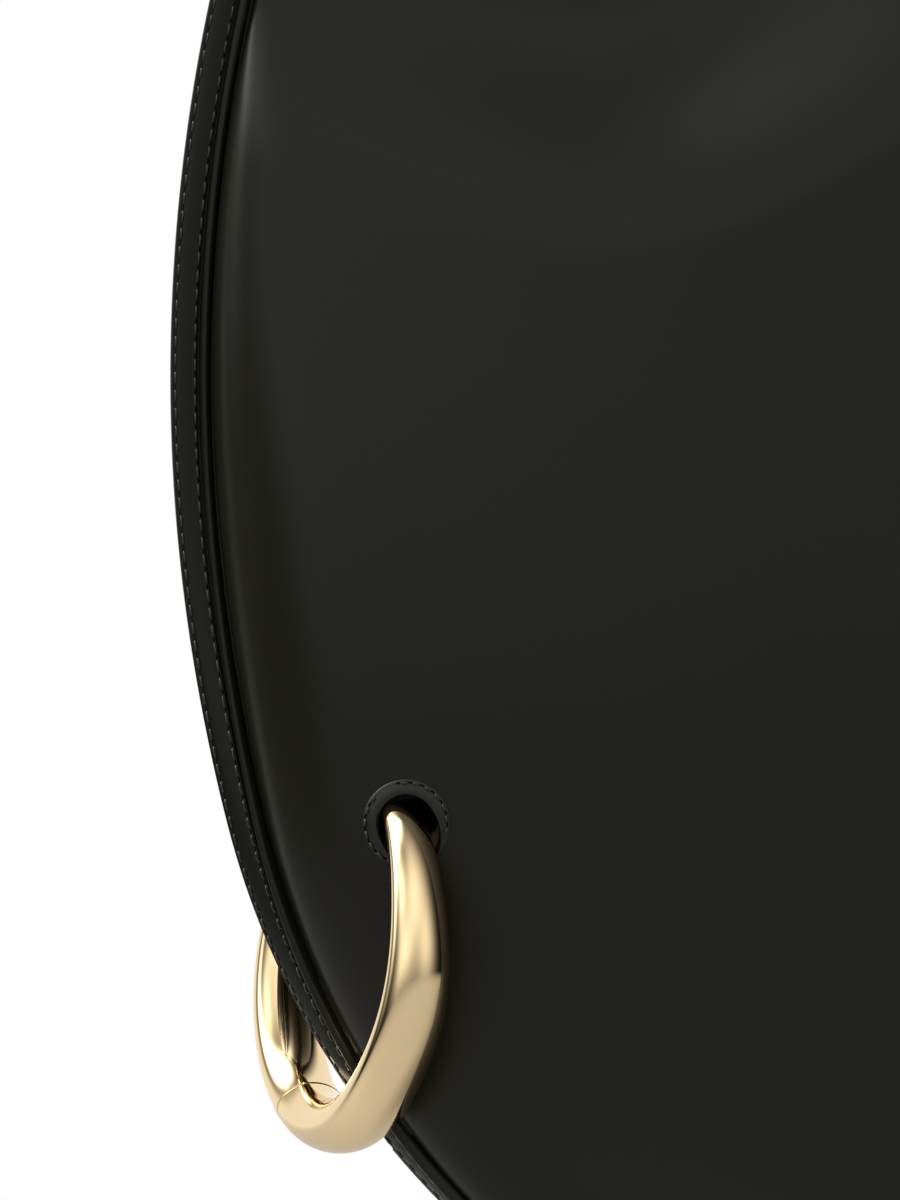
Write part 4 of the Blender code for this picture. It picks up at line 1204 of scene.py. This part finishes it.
def pocket_sheet(name, low, inset, thickness, material, replaced):
    rows = []
    for z in ramp(low, POCKET_TOP, POCKET_ROWS):
        xs = ramp(-POCKET_HALF_WIDTH, 0.0, POCKET_COLUMNS)
        rows.append([Vector((x, pocket_depth(x, z) - inset, z)) for x in xs])
    outward = Vector((0, 1, 0))
    sheet_piece(name, rows, material, thickness, replaced, outward, softening=thickness * 0.3)


def make_pocket():
    inset = POCKET_CLOTH + GAP / 2
    trim_low = POCKET_TOP - POCKET_TRIM_HEIGHT
    pocket_sheet("pocket_pouch", POCKET_BOTTOM, 0.0, POCKET_CLOTH, SUEDE, "slip_pocket")
    pocket_sheet("pocket_binding", trim_low, inset, POCKET_TRIM_LEATHER, FACING_CALF, "pocket_trim")
    shape = bmesh.new()
    depth = inset + POCKET_TRIM_LEATHER
    count = int(POCKET_HALF_WIDTH / STITCH_PITCH)
    for z in (POCKET_TOP - POCKET_STITCH_INSET, trim_low + POCKET_STITCH_INSET):
        for k in range(-count, count + 1):
            x = k * STITCH_PITCH
            middle = Vector((x, pocket_depth(x, z) - depth, z))
            near = Vector((x + GAP, pocket_depth(x + GAP, z) - depth, z))
            stitch(shape, middle, (near - middle).normalized(), Vector((0, -1, 0)))
    finish_stitches("pocket_stitches", shape)


# Base

def base_sheet(name, inward, inset, least, thickness, material, replaced):
    """A curved strip along the bottom, as wide as the room between the panels leaves."""
    rows = []
    for x, z, inward_x, inward_z in outline_stations():
        half = gusset_half(z) - inset
        if half < least:
            continue
        row = []
        for y in ramp(-half, half, BASE_COLUMNS):
            reach = inward + BASE_BOW * (1 - (y / half) ** 2)
            row.append(Vector((x + inward_x * reach, y, z + inward_z * reach)))
        rows.append(row)
    down = Vector((0, 0, -1))
    sheet_piece(name, rows, material, thickness, replaced, down, softening=SHEET_SOFTENING)


def make_base():
    base_sheet("base_leather", 0.0, GAP, LEAST_GUSSET, GUSSET_LEATHER, BASE_CALF, "base_gusset")
    inward = GUSSET_LEATHER + GAP
    base_sheet("base_stiffener", inward, BOARD_INSET, LEAST_BOARD, BOARD_THICKNESS, FIBRE, "base_board")


# Snap and hinge pin

def turned(name, profile, matrix, material, body, replaced, steps=TURNED_SIDES):
    """A solid turned round its own Z from (radius, height) points that run top to bottom."""
    sides = circle(steps)
    rows = [[matrix @ Vector((r * x, r * y, height)) for x, y in sides] for r, height in profile]
    shape = lofted(rows, closed=True, caps=(True, True))
    mesh_object(name, moved(shape), material, body=body, replaced=(replaced,))


def snap_matrix(side):
    z = top_height(0.0) - SNAP_DROP
    place = behind(0.0, z, side, LEATHER + GAP + FACING_LEATHER + SNAP_CLEARANCE)
    turn = (-surface_normal(0.0, z, side)).to_track_quat("Z", "X").to_matrix().to_4x4()
    return Matrix.Translation(place) @ turn


def make_snap():
    edge, radius, top = GAP, SNAP_RADIUS, SNAP_HEIGHT
    rim = (
        (radius - 2 * edge, top), (radius - edge, top - edge * 0.3), (radius, top - edge * 1.2),
        (radius, edge), (radius - edge, 0.0),
    )
    recess, floor = SNAP_BOSS_RADIUS + GAP, SNAP_HEIGHT - SNAP_BOSS_HEIGHT
    well = (
        (recess * 0.2, floor), (recess, floor), (recess, top - edge), (recess + edge, top),
        (recess + 4 * edge, top), (recess + 4.5 * edge, top - edge * 0.4), (recess + 5 * edge, top),
    )
    knob, summit = SNAP_BOSS_RADIUS, SNAP_HEIGHT + SNAP_BOSS_HEIGHT
    boss = ((knob * 0.2, summit), (knob - 2 * edge, summit), (knob - edge, summit - edge), (knob, top))
    turned("snap_well", well + rim, snap_matrix(-1), GOLD, "bag", "snap_socket")
    turned("snap_boss", boss + rim, snap_matrix(1), GOLD, "bag", "snap_stud")


def make_pin():
    half = KNUCKLE_LENGTH / 2
    head = PIN_RADIUS * 1.6
    low = [(head * cos(a), head * 0.45 * sin(a)) for a in ramp(0.0, 1.4, 6)]
    top = [(radius, half + rise) for radius, rise in reversed(low)]
    stem = [(PIN_RADIUS, half), (PIN_RADIUS, -half)]
    bottom = [(radius, -half - rise) for radius, rise in low]
    profile = top + stem + bottom
    turned("hinge_rivet", profile, HINGE, PIN_GOLD, "ring", "ring_hinge_pin", steps=PIN_SIDES)


# Strap

LEG_LENGTH = (ARCH_HEIGHT - LEG_START_HEIGHT + ARCH_RADIUS * sin(LEG_LEAN)) / cos(LEG_LEAN)
STRAP_INNER = LEAST_HALF_GAP + LEATHER + GAP


def strap_station(distance, inset=0.0):
    """(x, z, inward x, inward z) at a length along the strap's outer line, from its left end."""
    if distance < LEG_LENGTH:
        x = LEG_START_X + distance * sin(LEG_LEAN)
        z = LEG_START_HEIGHT + distance * cos(LEG_LEAN)
        inward_x, inward_z = LEG_INWARD
    else:
        angle = pi - LEG_LEAN - (distance - LEG_LENGTH) / ARCH_RADIUS
        angle = max(angle, pi / 2)
        inward_x, inward_z = -cos(angle), -sin(angle)
        x, z = -ARCH_RADIUS * inward_x, ARCH_HEIGHT - ARCH_RADIUS * inward_z
    return x + inward_x * inset, z + inward_z * inset, inward_x, inward_z


STRAP_HALF_LENGTH = LEG_LENGTH + ARCH_RADIUS * (pi / 2 - LEG_LEAN)


def strap_point(distance, inset, depth):
    x, z, _, _ = strap_station(distance, inset)
    return Vector((x, depth, z))


def strap_sweep(name, profile, start, material, replaced):
    """A closed profile of (inset, depth) points run along the strap."""
    stops = ramp(start, STRAP_HALF_LENGTH, STRAP_ROWS)
    rows = [[strap_point(stop, inset, depth) for inset, depth in profile] for stop in stops]
    half_tube(name, rows, material, replaced)


def strap_profile(side):
    """A flat layer with rounded edges, pressed a little under each row of stitches."""
    low, high = STRAP_INNER, STRAP_INNER + STRAP_LEATHER
    soft = STRAP_SOFTENING
    half = [(0.0, low), (0.0, high - soft), (soft * 0.3, high - soft * 0.3), (soft, high)]
    half += [
        (STRAP_ROW - soft, high),
        (STRAP_ROW - soft * 0.4, high - STITCH_RADIUS * 0.7),
        (STRAP_ROW + soft * 0.4, high - STITCH_RADIUS * 0.7),
        (STRAP_ROW + soft, high),
        (STRAP_WIDTH * 0.3, high + soft * 0.4),
    ]
    whole = half + [(STRAP_WIDTH - inset, depth) for inset, depth in reversed(half)]
    return [(inset, side * depth) for inset, depth in whole]


def core_profile():
    """The painted edge seen between both layers, a little rounded."""
    half = STRAP_INNER - GAP / 3
    turns = ramp(-1.5, 1.5, 7)
    edge = [(CORE_INSET + half * (1 - cos(a)) * 0.4, half * sin(a)) for a in turns]
    return edge + [(STRAP_WIDTH - inset, depth) for inset, depth in reversed(edge)]


def strap_stitches(name, side):
    """Two rows along the strap's edges, and two rows across where it laps over the panel."""
    shape = bmesh.new()
    high = STRAP_INNER + STRAP_LEATHER
    room = STRAP_WIDTH - 2 * STRAP_ROW
    spots = []
    for inset in (STRAP_ROW, STRAP_WIDTH - STRAP_ROW):
        for k in range(int((STRAP_HALF_LENGTH - STRAP_ROW) / STITCH_PITCH)):
            distance = STRAP_ROW + (k + 0.5) * STITCH_PITCH
            _, _, inward_x, inward_z = strap_station(distance)
            middle = strap_point(distance, inset, side * (high - STITCH_RADIUS * 0.7))
            spots.append((middle, Vector((-inward_z, 0.0, inward_x))))
    lap = (PANEL_END_HEIGHT - LEG_START_HEIGHT) / cos(LEG_LEAN) - STRAP_ROW
    count = int(room / STITCH_PITCH)
    for distance in (STRAP_ROW, lap):
        for k in range(count):
            _, _, inward_x, inward_z = strap_station(distance)
            middle = strap_point(distance, STRAP_ROW + (k + 0.5) * room / count, side * high)
            spots.append((middle, Vector((inward_x, 0.0, inward_z))))
    for middle, along in spots:
        for flip in MIRRORS:
            stitch(shape, middle * flip, along * flip, Vector((0, side, 0)))
    finish_stitches(name, shape)


def make_strap():
    for name, side in SIDES:
        node = f"strap_{name}_layer"
        strap_sweep(f"{name}_strap_leather", strap_profile(side), GAP, STRAP_CALF, node)
        strap_stitches(f"{name}_strap_stitches", side)
    sag = STRAP_WIDTH ** 2 / (2 * MOUTH_RADIUS)
    lap = (PANEL_END_HEIGHT - LEG_START_HEIGHT) / cos(LEG_LEAN) + sag + GAP
    strap_sweep("strap_painted_edge", core_profile(), lap, STRAP_EDGE, "strap_core")


# Assembly

cutter = passage_helper("hole_helper", TUNNEL_EASE)
for name, side in SIDES:
    make_panel(name, side, cutter)
discard(cutter)
make_edge_fill()
passage = passage_helper("passage_helper", SLEEVE_LEATHER + GAP)
for name, side in SIDES:
    edge_sweep(f"{name}_binding", strip_profile(), side, f"{name}_edge_strip")
    edge_sweep(f"{name}_lip", piping_profile(), side, f"{name}_edge_piping")
    edge_stitches(f"{name}_edge_stitches", side)
    make_mouth_facing(name, side)
    make_interlining(name, side, passage)
    make_lining(name, side, passage)
discard(passage)
make_pocket()
make_base()
make_snap()
make_strap()
make_eyelet()
make_sleeve()
make_ring()
make_pin()


# Stage, light and camera

def make_floor():
    shape = bmesh.new()
    bmesh.ops.create_grid(shape, size=FLOOR_HALF)
    floor = mesh_object("floor", shape, FLOOR, body=None)
    floor.location.z = cad_box[0][2] - FLOOR_DROP


def pale_floor():
    """A pale floor that keeps the bag's shadow and thins out before its rim."""
    n = Nodes("floor_white")
    seen = n.add("LightPath").outputs["Is Camera Ray"]
    n.spread(seen, FLOOR_TONE, FLOOR_TONE_SEEN, "Base Color")
    n.put({"Roughness": 0.6})
    place = n.add("NewGeometry").outputs["Position"]
    apart = n.add("VectorMath", {0: place}, operation="LENGTH").outputs["Value"]
    n.link(n.fade(apart, FLOOR_CLEAR, FLOOR_EDGE, 1.0, 0.0), "Alpha")
    return n.material


FLOOR = pale_floor()
make_floor()


def direction(azimuth, elevation):
    """The way towards a light: azimuth 0 is in front of the bag, 90 to its right, 270 to its left."""
    turn, rise = radians(azimuth), radians(elevation)
    return sin(turn) * cos(rise), -cos(turn) * cos(rise), sin(rise)


def make_world():
    """Soft lights all round, and a white backdrop behind the bag for what the camera sees."""
    world = bpy.data.worlds.new("studio")
    scene.world = world
    world.use_nodes = True
    world.node_tree.nodes.clear()
    n = Tree(world.node_tree)
    way = n.add("TexCoord").outputs["Generated"]
    light = 0.0
    for azimuth, elevation, tightness, strength in SOFT_LIGHTS:
        towards = direction(azimuth, elevation)
        aim = n.add("VectorMath", {0: way, 1: towards}, operation="DOT_PRODUCT")
        lobe = n.math("POWER", n.math("MAXIMUM", aim.outputs["Value"], 0.0), tightness)
        light = n.math("MULTIPLY_ADD", lobe, strength, light)
    path = n.add("LightPath")
    back = n.add("SeparateXYZ", {0: way}).outputs["Y"]
    behind_bag = n.fade(back, BACKDROP_START, BACKDROP_FULL, 0.0, 1.0)
    mirrored = n.math("MULTIPLY", behind_bag, path.outputs["Is Glossy Ray"])
    seen = n.math("MAXIMUM", mirrored, path.outputs["Is Camera Ray"])
    seen = n.math("MAXIMUM", seen, path.outputs["Is Transmission Ray"])
    strength = n.math("MULTIPLY_ADD", n.math("SUBTRACT", 1.0, light), seen, light)
    background = n.add("Background", {"Color": (1, 1, 1, 1), "Strength": strength})
    n.add("OutputWorld", {"Surface": background.outputs[0]})


make_world()

camera_data = bpy.data.cameras.new("camera")
camera_data.sensor_fit = "VERTICAL"
camera_data.sensor_height = 1000 * CAMERA_SENSOR
camera_data.lens = 1000 * CAMERA_SENSOR * CAMERA_DISTANCE / PHOTO_HEIGHT
camera_data.clip_end = CAMERA_REACH
camera = add_object("camera", camera_data)
camera.location = (PHOTO_CENTRE[0], MIDDLE_Y - CAMERA_DISTANCE, PHOTO_CENTRE[1])
camera.rotation_euler = (radians(90), 0, 0)
scene.camera = camera
scene.view_settings.view_transform = "Standard"
